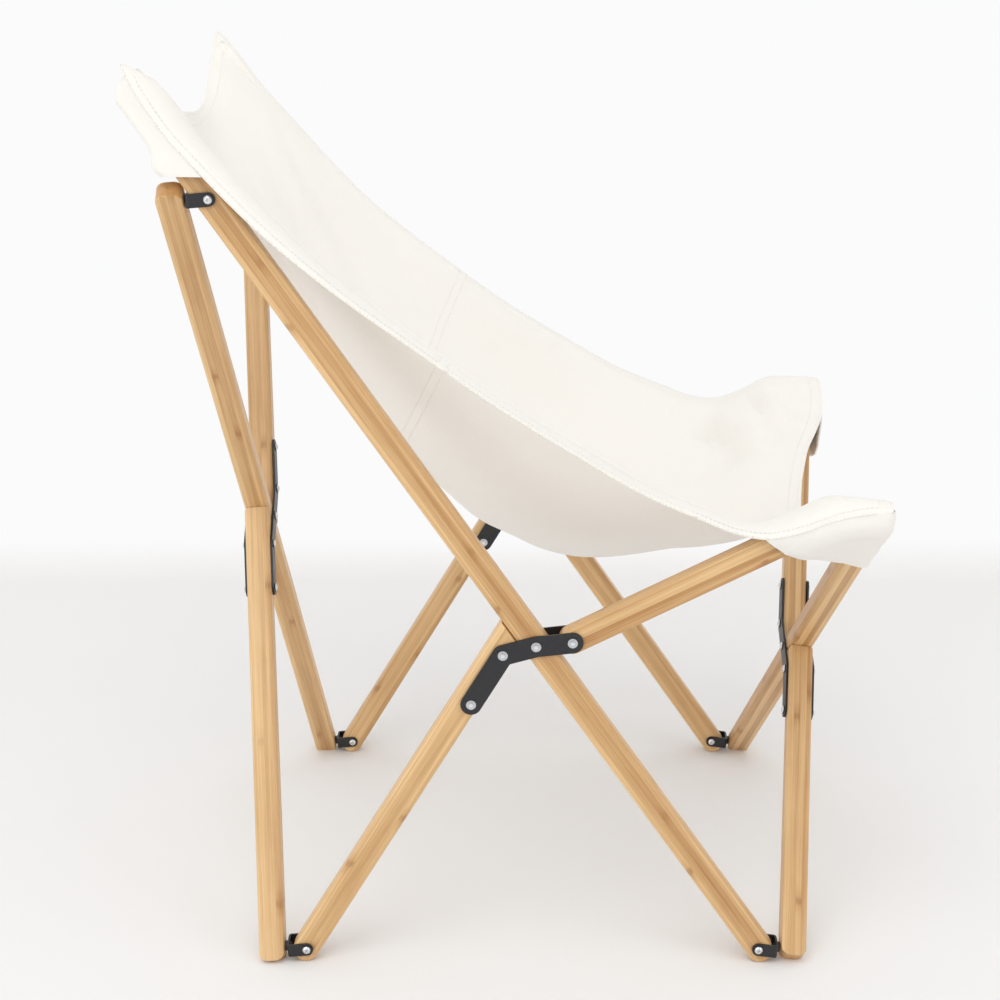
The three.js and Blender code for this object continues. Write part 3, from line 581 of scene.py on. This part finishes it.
riseShares = {
    "rear": [0, 0.02, 0.085, 0.22, 0.43, 0.68, 0.89, 1],
    "middle": [0, 0.011, 0.056, 0.143, 0.276, 0.461, 0.7, 1],
    "front": [0, 0.1, 0.28, 0.43, 0.56, 0.7, 0.87, 1],
}
# creases: start and end as millimetres across from the middle and along from the rear hem,
# then width and depth
creases = [
    (185, 752, 262, 733, 12, 9), (120, 790, 215, 754, 16, 5.5), (200, 818, 262, 788, 9, 6.5),
    (140, 842, 215, 808, 12, 4.5), (-190, 748, -262, 730, 13, 7), (-150, 830, -240, 790, 11, 5),
    (225, 90, 150, 330, 16, 3.2), (-222, 80, -150, 300, 15, 3), (190, 60, 120, 240, 20, 2.4),
    (226, 250, 205, 620, 22, 3), (-150, 700, -60, 850, 24, 3), (100, 420, 200, 640, 26, 2.4),
    (-60, 60, 40, 220, 26, 2), (226, 700, 170, 780, 12, 3.6),
]
crease = {
    "sway": 6.0,  # a crease bows aside by this much, as a sine over so many radians
    "swayTurn": 2.6,
    "grow": 0.35,  # shares of its span over which it starts and ends
    "past": 1.15,
    "fade": 0.4,
    "lip": 0.45,  # height of the raised lip beside it, as a share of its depth
    "lipAt": 1.7,
}


def throughPoints(points, knots, places):
    points = np.array(points, float)
    tangents = np.gradient(points, knots, axis=0)
    spot = np.clip(np.searchsorted(knots, places, side="right") - 1, 0, len(knots) - 2)
    gap = (knots[spot + 1] - knots[spot])[:, None]
    t = (places - knots[spot])[:, None] / gap
    return (
        (2 * t**3 - 3 * t**2 + 1) * points[spot]
        + (t**3 - 2 * t**2 + t) * gap * tangents[spot]
        + (3 * t**2 - 2 * t**3) * points[spot + 1]
        + (t**3 - t**2) * gap * tangents[spot + 1]
    )


def runAlong(points):  # distance from the first point, along the line
    steps = np.linalg.norm(np.diff(points, axis=0), axis=1)
    return np.concatenate([[0], np.cumsum(steps)])


def readAt(places, run, values):  # each column of the values, read at places of the run
    return np.stack([np.interp(places, run, column) for column in values.T], axis=1)


def lineAt(points, shares):  # a smooth line through points, read at shares of its length
    points = np.array(points, float)
    knots = runAlong(points)
    fine = throughPoints(points, knots, np.linspace(0, knots[-1], 600))
    run = runAlong(fine)
    return readAt(shares, run / run[-1], fine)


def riseAt(values, shares):
    knots = np.linspace(0, 1, len(values))
    return throughPoints(np.array(values)[:, None], knots, np.clip(shares, 0, 1))[:, 0]


def halfRow(share, edge, crest, centre):
    middleness = math.sin(math.pi * share) ** 4
    crestX = sling["plane"] - sling["waist"] * middleness
    rimX = crestX + sling["rimPast"]
    places = sling["joinX"] * np.linspace(0, 1, sling["halfColumns"] + 1)
    shares = places / (crestX - sling["landing"])
    end = riseShares["rear"] if share < 0.5 else riseShares["front"]
    rise = riseAt(end, shares) * (1 - middleness) + riseAt(riseShares["middle"], shares) * middleness
    row = [(x, *(centre + (crest - centre) * lift)) for x, lift in zip(places, rise)]
    start, top = np.array(row[-1]), np.array((crestX, *crest))
    for step in range(1, sling["bandColumns"] + 1):
        row.append(start + (top - start) * step / sling["bandColumns"])
    rim = np.array((rimX, *edge))
    knee = np.array((rimX, *(crest + (edge - crest) * sling["kneeShare"])))
    for step in range(1, sling["turnColumns"] + 1):
        t = step / sling["turnColumns"]
        row.append((1 - t) ** 2 * top + 2 * t * (1 - t) * knee + t**2 * rim)
    return np.array(row)


def normalsOf(grid):
    return unit(np.cross(np.gradient(grid, axis=0), np.gradient(grid, axis=1)))


def clothLengths(grid):
    steps = np.linalg.norm(np.diff(grid, axis=1), axis=2)
    across = np.concatenate([np.zeros((len(grid), 1)), np.cumsum(steps, axis=1)], axis=1)
    middle = grid.shape[1] // 2
    across -= across[:, middle : middle + 1]
    along = runAlong(grid[:, middle])
    return np.stack([across, np.repeat(along[:, None], grid.shape[1], axis=1)], axis=2)


def fromHem(flat):  # distance of each point from the nearer hem, along the cloth
    return np.minimum(flat[:, :, 1], flat[-1, 0, 1] - flat[:, :, 1])


def toHem(grid, row, hem, reach):  # moves the rows near one end of the cloth onto that hem's own line
    own = grid[row]
    line = np.array(hem, float)
    rounded = readAt(own[:, 0], line[:, 0], line[:, 1:])
    for _ in range(2):
        rounded[1:-1] = (rounded[:-2] + 2 * rounded[1:-1] + rounded[2:]) / 4
    move = rounded - own[:, 1:]
    run = runAlong(grid[:, grid.shape[1] // 2])
    away = np.abs(run - run[row])
    weight = np.exp(-((away / reach) ** 2))
    shaped = grid.copy()
    shaped[:, :, 1:] += weight[:, None, None] * move[None, :, :]
    return shaped


def creased(flat):
    depth = np.zeros(flat.shape[:2])
    for startU, startV, endU, endV, width, deep in creases:
        start, end = np.array((startU, startV), float), np.array((endU, endV), float)
        way = end - start
        span = np.linalg.norm(way)
        way /= span
        off = flat - start
        run = off @ way
        bow = crease["sway"] * np.sin(run / span * crease["swayTurn"])
        aside = off @ np.array((-way[1], way[0])) + bow
        grow = np.clip(run / (crease["grow"] * span), 0, 1)
        fade = np.clip((crease["past"] * span - run) / (crease["fade"] * span), 0, 1)
        taper = grow * fade
        taper = taper * taper * (3 - 2 * taper)
        depth -= deep * taper * np.exp(-((aside / width) ** 2))
        lip = (aside - crease["lipAt"] * width) / width
        depth += crease["lip"] * deep * taper * np.exp(-(lip**2))
    return depth


def panelGrid():
    shares = np.linspace(0, 1, sling["rows"] + 1)
    edge, crest, centre = (lineAt(line, shares) for line in (edgeLine, crestLine, centreLine))
    rows = []
    for i, share in enumerate(shares):
        half = halfRow(share, edge[i], crest[i], centre[i])
        rows.append(np.concatenate([half[:0:-1] * (-1, 1, 1), half]))
    grid = toHem(np.array(rows), 0, rearHem, sling["rearReach"])
    grid = toHem(grid, -1, frontHem, sling["frontReach"])
    flat = clothLengths(grid)
    sideReach = np.abs(grid[:, :, 0])
    inner = np.clip((sling["plane"] - sling["stillRim"] - sideReach) / sling["growAcross"], 0, 1)
    along, aside, across = sling["waveLengths"]
    waves = np.sin(flat[:, :, 1] / along + sideReach / aside) * np.sin(sideReach / across + 0.7)
    ends = np.clip(fromHem(flat) / sling["growAlong"], sling["leastAtHem"], 1)
    depth = (creased(flat) + waves * sling["wave"]) * inner * ends
    return grid + normalsOf(grid) * depth[:, :, None], flat


def clothThickness(flat):
    hem = np.clip((sling["hemWidth"] - fromHem(flat)) / sling["hemStep"] + 0.5, 0, 1)
    fromSeam = flat[:, :, 1] - sling["backSeam"] * flat[-1, 0, 1]
    seam = np.exp(-((fromSeam / sling["seamWidth"]) ** 4))
    return sling["thickness"] + sling["hemExtra"] * np.maximum(hem, sling["seamShare"] * seam)


def placed(points):  # from millimetres off the foot pins to metres in the frame of the parts
    return np.asarray(points, float) * mm + (0, frameShift, 0)


def newPiece(name, points, faces, material):
    mesh = bpy.data.meshes.new(name)
    mesh.from_pydata([tuple(p) for p in points], [], faces)
    mesh.materials.append(material)
    return newObject(name, mesh)


def sheetPiece(name, grid, normals, flat, thickness):
    # closed sheet about a grid of points, with the grid's own normals so that neighbours meet unseen
    offset = normals * np.asarray(thickness)[..., None] / 2
    points = np.concatenate([(grid + offset).reshape(-1, 3), (grid - offset).reshape(-1, 3)])
    index = np.arange(len(points) // 2).reshape(grid.shape[:2])
    corners = (index[:-1, :-1], index[1:, :-1], index[1:, 1:], index[:-1, 1:])
    upper = np.stack(corners, axis=2).reshape(-1, 4)
    lower = upper[:, ::-1] + index.size
    walk = np.concatenate([index[::-1, 0], index[0, 1:], index[1:, -1], index[-1, -2::-1]])  # once around
    edge = np.stack([walk[:-1], walk[1:], walk[1:] + index.size, walk[:-1] + index.size], axis=1)
    piece = newPiece(name, placed(points), np.concatenate([upper, lower, edge]).tolist(), canvasCloth)
    mesh = piece.data
    mesh.shade_smooth()
    cloth = mesh.uv_layers.new(name="clothMetres")
    flatPoints = np.tile(flat.reshape(-1, 2), (2, 1)) * mm
    corner = np.empty(len(mesh.loops), int)
    mesh.loops.foreach_get("vertex_index", corner)
    cloth.data.foreach_set("uv", flatPoints[corner].ravel())
    soft = np.concatenate([normals.reshape(-1, 3), -normals.reshape(-1, 3)])[corner]
    for face in mesh.polygons[2 * len(upper) :]:  # the cut edge keeps its own direction
        face.use_smooth = False
        for loop in face.loop_indices:
            soft[loop] = tuple(face.normal)
    mesh.normals_split_custom_set([tuple(n) for n in soft])
    return piece


def windowOf(top, bottom, first, last):
    return slice(top, bottom + 1), slice(first, last + 1)


grid, flat = panelGrid()
gridNormals = normalsOf(grid)
thickness = clothThickness(flat)
stripEnd, stripStart, foldRow = (
    int(round(sling[name] * sling["rows"])) for name in ("rearStripEnd", "frontStripStart", "foldRow")
)
stripColumns = sling["bandColumns"] + sling["turnColumns"]
lastRow, lastColumn = grid.shape[0] - 1, grid.shape[1] - 1
windows = {
    "sling_back": windowOf(0, foldRow, stripColumns, lastColumn - stripColumns),
    "sling_seat": windowOf(foldRow, lastRow, stripColumns, lastColumn - stripColumns),
}
for name, first, last in (("left", 0, stripColumns), ("right", lastColumn - stripColumns, lastColumn)):
    windows["sling_strip_rear_" + name] = windowOf(0, stripEnd, first, last)
    windows["sling_strip_middle_" + name] = windowOf(stripEnd, stripStart, first, last)
    windows["sling_strip_front_" + name] = windowOf(stripStart, lastRow, first, last)
slingPieces = {}
slingGrids = {}
for name, window in windows.items():
    slingPieces[name] = sheetPiece(name, grid[window], gridNormals[window], flat[window], thickness[window])
    slingGrids[name] = grid[window]
print("stage: sling panel shaped")


# piping and stitches

sewing = {
    "stitch": 2.9,
    "pitch": 4.3,
    "threadWide": 0.36,
    "threadHigh": 0.22,
    "corners": (45, 135, 225, 315),
    "rings": [  # along, wide and high, as shares of the stitch and the thread
        (-0.5, 0.25, -0.35), (-0.36, 0.85, 0.1), (0, 1.0, 0.42), (0.36, 0.85, 0.1), (0.5, 0.25, -0.35),
    ],
    "lift": 0.12,  # of the thread over plain cloth, and more where hems make it thick
    "hemLift": 0.2,
    "pipingRadius": 1.2,
    "pipingSides": 10,
    "rimRow": 5.5,  # from the piping to its row of stitches
    "hemRows": (3.2, 13.8),  # rows of stitches from the edge of a hem, and from the middle of the seam
    "seamRows": (-4.6, 4.6),
    "pipingColumns": 4,  # columns of the cloth that rows along a hem leave to the piping
}


def resampled(points, normals, pitch):
    run = runAlong(points)
    count = max(2, int(run[-1] / pitch))
    places = (np.arange(count) + 0.5) * run[-1] / count
    ways = readAt(places + 1.0, run, points) - readAt(places - 1.0, run, points)
    return readAt(places, run, points), unit(ways), unit(readAt(places, run, normals))


def tubeFaces(first, rings, sides):  # quads between rings of points, and a cap on both ends
    faces = []
    for ring in range(rings - 1):
        start = first + ring * sides
        for k in range(sides):
            a, b = start + k, start + (k + 1) % sides
            faces.append((a, b, b + sides, a + sides))
    last = first + (rings - 1) * sides
    faces.append(tuple(range(first, first + sides))[::-1])
    faces.append(tuple(range(last, last + sides)))
    return faces


def stitchRow(points, normals, lift):  # a small rounded thread for each stitch, as points and faces
    made, faces = [], []
    for spot, way, up in zip(*resampled(points, normals, sewing["pitch"])):
        side = np.cross(way, up)
        faces += tubeFaces(len(made), len(sewing["rings"]), len(sewing["corners"]))
        for along, wide, high in sewing["rings"]:
            for corner in sewing["corners"]:
                turn = math.radians(corner)
                made.append(
                    spot
                    + way * along * sewing["stitch"]
                    + side * math.cos(turn) * wide * sewing["threadWide"] * 1.4
                    + up * (lift + (math.sin(turn) * wide * 1.2 + high) * sewing["threadHigh"])
                )
    return made, faces


def rowAtWidth(window, side, inset):
    # a line inset from the outer border of a strip, column by column of its own width
    lines = []
    for across, points, normals in zip(flat[window][:, :, 0], grid[window], gridNormals[window]):
        run = np.abs(across - across[side])
        order = np.argsort(run)
        lines.append([np.interp(inset, run[order], v[order, i]) for v in (points, normals) for i in range(3)])
    lines = np.array(lines)
    return lines[:, :3], lines[:, 3:]


def rowAtLength(window, place):
    along = flat[window][:, 0, 1]
    if not along[0] <= place <= along[-1]:
        return None
    upper = min(max(int(np.searchsorted(along, place)), 1), len(along) - 1)
    t = (place - along[upper - 1]) / (along[upper] - along[upper - 1])
    return tuple(v[upper - 1] * (1 - t) + v[upper] * t for v in (grid[window], gridNormals[window]))


def stitchesFor(name, window):
    lines = []
    inside = slice(None)
    if "strip" in name:  # rows along a hem stop short of the piping
        onLeft = name.endswith("left")
        clear = sewing["pipingColumns"]
        inside = slice(clear, None) if onLeft else slice(0, -clear)
        lines.append(rowAtWidth(window, 0 if onLeft else -1, sewing["rimRow"]))
    length = flat[-1, 0, 1]
    places = [*sewing["hemRows"], *(length - inset for inset in sewing["hemRows"])]
    places += [sling["backSeam"] * length + inset for inset in sewing["seamRows"]]
    for place in places:
        line = rowAtLength(window, place)
        if line:
            lines.append((line[0][inside], line[1][inside]))
    lift = sling["thickness"] / 2 + sewing["lift"]
    if "middle" not in name:  # every other part of the sling has a hem
        lift += sewing["hemLift"]
    made, faces = [], []
    for points, normals in lines:
        for way in (1, -1):
            newPoints, newFaces = stitchRow(points, normals * way, lift)
            faces += [tuple(v + len(made) for v in face) for face in newFaces]
            made += newPoints
    return made, faces


def pipingTube(points, normals):
    sides = sewing["pipingSides"]
    made = []
    for spot, way, up in zip(points, unit(np.gradient(points, axis=0)), normals):
        side = unit(np.cross(way, up))
        up = np.cross(side, way)
        for k in range(sides):
            turn = 2 * math.pi * k / sides
            made.append(spot + sewing["pipingRadius"] * (side * math.cos(turn) + up * math.sin(turn)))
    return made, tubeFaces(0, len(points), sides)


sewnPieces = {}
for name, window in windows.items():
    made, faces = stitchesFor(name, window)
    sewnPieces[name] = [newPiece(name + "_stitches", placed(made), faces, threadCotton)]
    if "strip" in name:
        rim = 0 if name.endswith("left") else -1
        made, faces = pipingTube(grid[window][:, rim], gridNormals[window][:, rim])
        sewnPieces[name].append(newPiece(name + "_piping", placed(made), faces, threadCotton))
for several in sewnPieces.values():
    for piece in several:
        piece.data.shade_smooth()
print("stage: rims piped and hems stitched")


# pockets


railPocket = {
    "railPoint": (281.45, 743.26),  # on the middle line of the rail, as y and z, and its lean
    "railLean": 55.45,
    "mouth": 763.4,
    "tip": 125.0,
    "roundStart": 106.0,
    "roundReach": 20.5,
    "flareAt": 41.0,
    "flareReach": 15.0,
    "flare": 0.55,
    "rows": 34,
    "columns": 36,
    "thickness": 1.5,
    "wrinkle": 0.35,
    "capStart": 0.86,
    "capDraw": 0.9,
    "underRim": (1.2, 0.6),  # how far the cloth starts inside and below the rim
    "underCrest": (-13.4, 3.0),
    "crestReach": 20.0,
    "section": [  # outwards from the side frame, and forwards from the rail's middle line
        (14.6, -6), (12.8, -13.2), (6, -15.4), (-5, -15.2), (-11.8, -13), (-12.6, -6), (-12.8, 6),
    ],
}
railPoint = np.array(railPocket["railPoint"])
lean = math.radians(railPocket["railLean"])
railWay = np.array((math.cos(lean), math.sin(lean)))
railFront = np.array((-railWay[1], railWay[0]))


def alongRail(sideways, share):  # place along the rail, from the level mouth to the tip
    start = (railPocket["mouth"] - railPoint[1] - railFront[1] * sideways) / railWay[1]
    return start + (railPocket["tip"] - start) * share


def offRail(line):  # the rear quarter of a line of the sling, as places along and off the rail
    run = lineAt(line, np.linspace(0, 0.25, 60)) - railPoint
    return (run @ railWay)[::-1], (run @ railFront)[::-1]


rimOffRail, crestOffRail = offRail(edgeLine), offRail(crestLine)


def railPocketRow(share):
    past, below = railPocket["underRim"]
    crestPast, crestBelow = railPocket["underCrest"]
    rim = np.interp(alongRail(0, share), *rimOffRail)
    crest = np.interp(alongRail(railPocket["crestReach"], share), *crestOffRail)
    loop = [(sling["rimPast"] - past, rim - below), *railPocket["section"], (crestPast, crest - crestBelow)]
    line = lineAt(loop, np.linspace(0, 1, railPocket["columns"] + 1))
    cap = max(0.0, (share - railPocket["capStart"]) / (1 - railPocket["capStart"]))
    shrink = 1 - math.sqrt(max(0.0, 1 - cap**2))
    chord = line[0] + (line[-1] - line[0]) * np.linspace(0, 1, len(line))[:, None]
    points = []
    for out, sideways in line + (chord - line) * shrink * railPocket["capDraw"]:
        here = alongRail(sideways, share)
        if sideways < 0:  # behind the rail the cloth rounds off at the tip and flares in between
            beyond = max(0.0, here - railPocket["roundStart"]) / railPocket["roundReach"]
            sideways *= math.sqrt(max(0.02, 1 - beyond**2))
            nearFlare = ((here - railPocket["flareAt"]) / railPocket["flareReach"]) ** 2
            sideways *= 1 + railPocket["flare"] * math.exp(-nearFlare)
        spot = railPoint + railWay * alongRail(sideways, share) + railFront * sideways
        points.append((sling["plane"] + out, *spot))
    return points


def railPocketGrid():
    return np.array([railPocketRow(share) for share in np.linspace(0, 1, railPocket["rows"] + 1)])


ripples = ((9, 23, 1.0, 1.3), (-31, 13, 0.6, 2.6), (5.5, -40, 0.5, 0))  # across, along, height, start


def wrinkled(grid, depth):
    u, v = np.moveaxis(clothLengths(grid), 2, 0)
    ripple = sum(high * np.sin(u / across + v / along + start) for across, along, high, start in ripples)
    rows, columns = grid.shape[:2]
    hold = np.sin(np.linspace(0, math.pi, columns))[None, :]
    hold = hold * np.clip(np.linspace(1.2, 0, rows), 0, 1)[:, None]
    return grid + normalsOf(grid) * (ripple * hold * depth)[:, :, None]


# hood over the end of an arm: columns from the mouth to the inner end, each from the rim to the hem,
# as outwards from the side frame, y and z
armPocketColumns = [
    [(18.3, -212.5, 434.4), (17.9, -216.4, 431.3), (17, -220.4, 428.2),
     (15.8, -224.3, 425.2), (14.6, -228.2, 422), (13, -232.1, 418.9)],
    [(18.4, -241, 439.6), (18, -242, 433), (16.2, -243.5, 427),
     (13, -245, 421), (7.5, -246.5, 415.4), (0.5, -248, 410.8)],
    [(18.7, -270, 451), (17.8, -270, 441), (13.4, -269.5, 431.5),
     (3, -268, 421), (-12, -267, 410.6), (-30, -266, 400.8)],
    [(18.7, -297, 457.8), (17.8, -297.2, 446), (12.2, -297, 437),
     (-6, -296, 426.6), (-26, -294.5, 410), (-49, -292.3, 391.4)],
    [(19, -326.2, 460.2), (16.6, -325.9, 448.6), (9, -325.6, 437.6),
     (-8, -324.2, 424.2), (-28, -322.4, 407.8), (-51, -319.9, 388.2)],
    [(-13, -328.4, 456), (-16, -328.2, 447), (-23, -326.9, 437.5),
     (-34, -325.2, 425), (-46, -323.2, 411), (-58, -321.3, 396.6)],
    [(-42, -326.5, 441.5), (-45, -326.4, 434.5), (-49, -325.7, 427),
     (-54, -324.4, 418.5), (-60, -322.9, 410.5), (-65, -321.6, 403.6)],
]
armPocket = {
    "around": 53,
    "down": 25,
    "thickness": 1.6,
    "wrinkle": 0.5,
    "farReach": 6.0,  # the far tip of the sling reaches this much further forward
    "farStart": -300,
    "farGrow": 25,
}


def armPocketGrid():
    shares = np.linspace(0, 1, armPocket["around"])
    runs = [lineAt(level, shares) for level in zip(*armPocketColumns)]
    fine = [lineAt(column, np.linspace(0, 1, armPocket["down"])) for column in zip(*runs)]
    points = np.array(fine).transpose(1, 0, 2)
    return points + (sling["plane"], 0, 0)


for name in ("left", "right"):
    for label, shape, pocket in (
        ("rail_pocket_cloth_", railPocketGrid(), railPocket),
        ("arm_pocket_cloth_", armPocketGrid(), armPocket),
    ):
        shape = wrinkled(shape, pocket["wrinkle"])
        if name == "right":
            further = np.clip((armPocket["farStart"] - shape[:, :, 1]) / armPocket["farGrow"], 0, 1)
            shape[:, :, 1] -= armPocket["farReach"] * further
        else:
            shape = shape[:, ::-1] * (-1, 1, 1)
        slingGrids[label + name] = shape
        slingPieces[label + name] = sheetPiece(
            label + name, shape, normalsOf(shape), clothLengths(shape), pocket["thickness"]
        )
print("stage: pockets shaped")


# riding


def bodyFor(name):  # the rear of the cloth goes with the rails, and its front with the arms
    side = "right" if name.endswith("right") else "left"
    onArm = name == "sling_seat" or "front" in name or "arm_pocket" in name
    return side + ("_arm" if onArm else "_rail")


for name, piece in slingPieces.items():
    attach(piece, bodyFor(name))
for name in ("left", "right"):
    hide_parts("rail_pocket_" + name)
    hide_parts("arm_pocket_" + name)
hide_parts("sling_panel")
for name, several in sewnPieces.items():
    for piece in several:
        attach(piece, bodyFor(name))

for name in ("sling_back", "sling_seat"):
    for piece in [slingPieces[name], *sewnPieces[name]]:
        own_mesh(piece)
for name, outer in (("sling_strip_middle_left", 0), ("sling_strip_middle_right", -1)):
    start, end = slingGrids[name][0, outer], slingGrids[name][-1, outer]
    way = tuple(unit(end - start))
    for piece in [slingPieces[name], *sewnPieces[name]]:
        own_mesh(piece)
print("stage: cloth rides with the bars")


# bolts and pins: a shank with a domed head on either end, made once for each length and head

bolt = {
    "shank": 2.5 * mm,
    "head": 3.8 * mm,
    "washer": 4.7 * mm,
    "washerHeight": 0.5 * mm,
    "edge": 0.9 * mm,
    "crown": 2.2 * mm,
    "sides": 32,
    "sideGrip": 12.1 * mm,
    "endGrip": 15.1 * mm,
    "slotHalfAngle": 14.0,  # the recess of a pin is drawn in between the arms of a cross
    "slotDraw": 0.38,
    # painted shade: the ring round a head is darkened almost fully, and the bottom of the recess by a quarter
    "washerPaintedShade": 0.94,
    "recessPaintedShade": 0.25,
    "smoothAngle": 32,
    "firstSpin": 18,
    "spinStep": 37,
}
axes = {joint["name"]: joint["axis"] for joint in behaviour["joints"]}
endNormals = {end: axes[end + "_crossing"] for end in ("rear", "front")}


def makeBolt(name, grip, crossed):
    bpy.ops.object.select_all(action="DESELECT")
    bpy.ops.mesh.primitive_cylinder_add(
        vertices=bolt["sides"], radius=bolt["shank"], depth=2 * grip, location=(0, 0, 0), calc_uvs=False
    )
    made = bpy.context.object
    made.name = name
    bpy.ops.object.mode_set(mode="EDIT")
    bpy.ops.mesh.select_all(action="DESELECT")
    bpy.ops.object.mode_set(mode="OBJECT")
    for face in made.data.polygons:
        face.select = abs(face.normal.z) > 0.9
    bpy.ops.object.mode_set(mode="EDIT")
    bpy.ops.mesh.select_mode(type="FACE")
    radius, height = bolt["shank"], grip
    washer, lip, head, edge = (bolt[name] for name in ("washer", "washerHeight", "head", "edge"))
    rise, top = bolt["crown"], grip + bolt["crown"]
    steps = [  # radius and height of each ring, from the shank over washer and dome into the recess
        (washer, grip),
        (washer, grip + lip * 0.7),
        (washer * 0.97, grip + lip),
        (head, grip + lip * 1.02),
        (head, grip + edge * 0.85),
        (head * 0.95, grip + edge),
        (head * 0.80, grip + rise * 0.74),
        (head * 0.62, grip + rise * 0.93),
        (head * 0.49, top),
        (head * 0.47, top - 0.15 * mm),
        (head * 0.42, top - 1.2 * mm),
        (head * 0.20, top - 1.35 * mm),
    ]
    for nextRadius, nextHeight in steps:
        bpy.ops.mesh.extrude_region_move()
        wide, tall = nextRadius / radius, nextHeight / height
        bpy.ops.transform.resize(value=(wide, wide, tall), center_override=(0, 0, 0))
        radius, height = nextRadius, nextHeight
    bpy.ops.object.mode_set(mode="OBJECT")
    if crossed:
        for vertex in made.data.vertices:
            far = math.hypot(vertex.co.x, vertex.co.y)
            if abs(vertex.co.z) > grip + 0.5 * edge and far < head * 0.475:
                angle = math.degrees(math.atan2(vertex.co.y, vertex.co.x)) % 90
                if bolt["slotHalfAngle"] < angle < 90 - bolt["slotHalfAngle"]:
                    vertex.co.x *= bolt["slotDraw"]
                    vertex.co.y *= bolt["slotDraw"]
    bpy.ops.object.shade_smooth_by_angle(angle=math.radians(bolt["smoothAngle"]))
    # painted shade, written per face into a map: the ring round the head and the bottom of the recess are
    # darkened
    paintedShadeUv = made.data.uv_layers.new(name="paintedShadeUv")
    for face in made.data.polygons:
        far = math.hypot(face.center.x, face.center.y)
        shade = 0.0
        # painted shadow on the ring round the head
        if far > head:
            shade = bolt["washerPaintedShade"]
        # painted shade at the bottom of the recess
        elif far < head * 0.3 and grip < abs(face.center.z) < top - 0.1 * mm:
            shade = bolt["recessPaintedShade"]
        for corner in face.loop_indices:
            paintedShadeUv.data[corner].uv = (shade, 0.0)
    made.data.materials.append(zinc)
    return made


patterns = {
    "plain": makeBolt("boltPattern", bolt["sideGrip"], False),
    "crossed": makeBolt("pinPattern", bolt["sideGrip"], True),
    "end": makeBolt("endBoltPattern", bolt["endGrip"], False),
}
fastened = [node for node in frame["nodes"] if "bolt" in node or "_pin_" in node]
for number, node in enumerate(fastened):
    low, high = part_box(node)
    onEnd = node.startswith(("rear_", "front_")) and "bolt" in node
    kind = "end" if onEnd else "crossed" if "_pin_" in node else "plain"
    way = Vector(endNormals[node.split("_")[0]]) if onEnd else Vector((1, 0, 0))
    mesh = patterns[kind].data.copy()
    spin = Matrix.Rotation(math.radians(bolt["spinStep"] * number + bolt["firstSpin"]), 4, "Z")
    turn = way.to_track_quat("Z", "Y").to_matrix().to_4x4()
    mesh.transform(Matrix.Translation((low + high) / 2) @ turn @ spin)
    piece = newObject(node + "_turned", mesh)
    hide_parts(node)
    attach(piece, bodyOfNode[node])
for pattern in patterns.values():
    bpy.data.objects.remove(pattern)
print("stage:", len(fastened), "bolts and pins made")
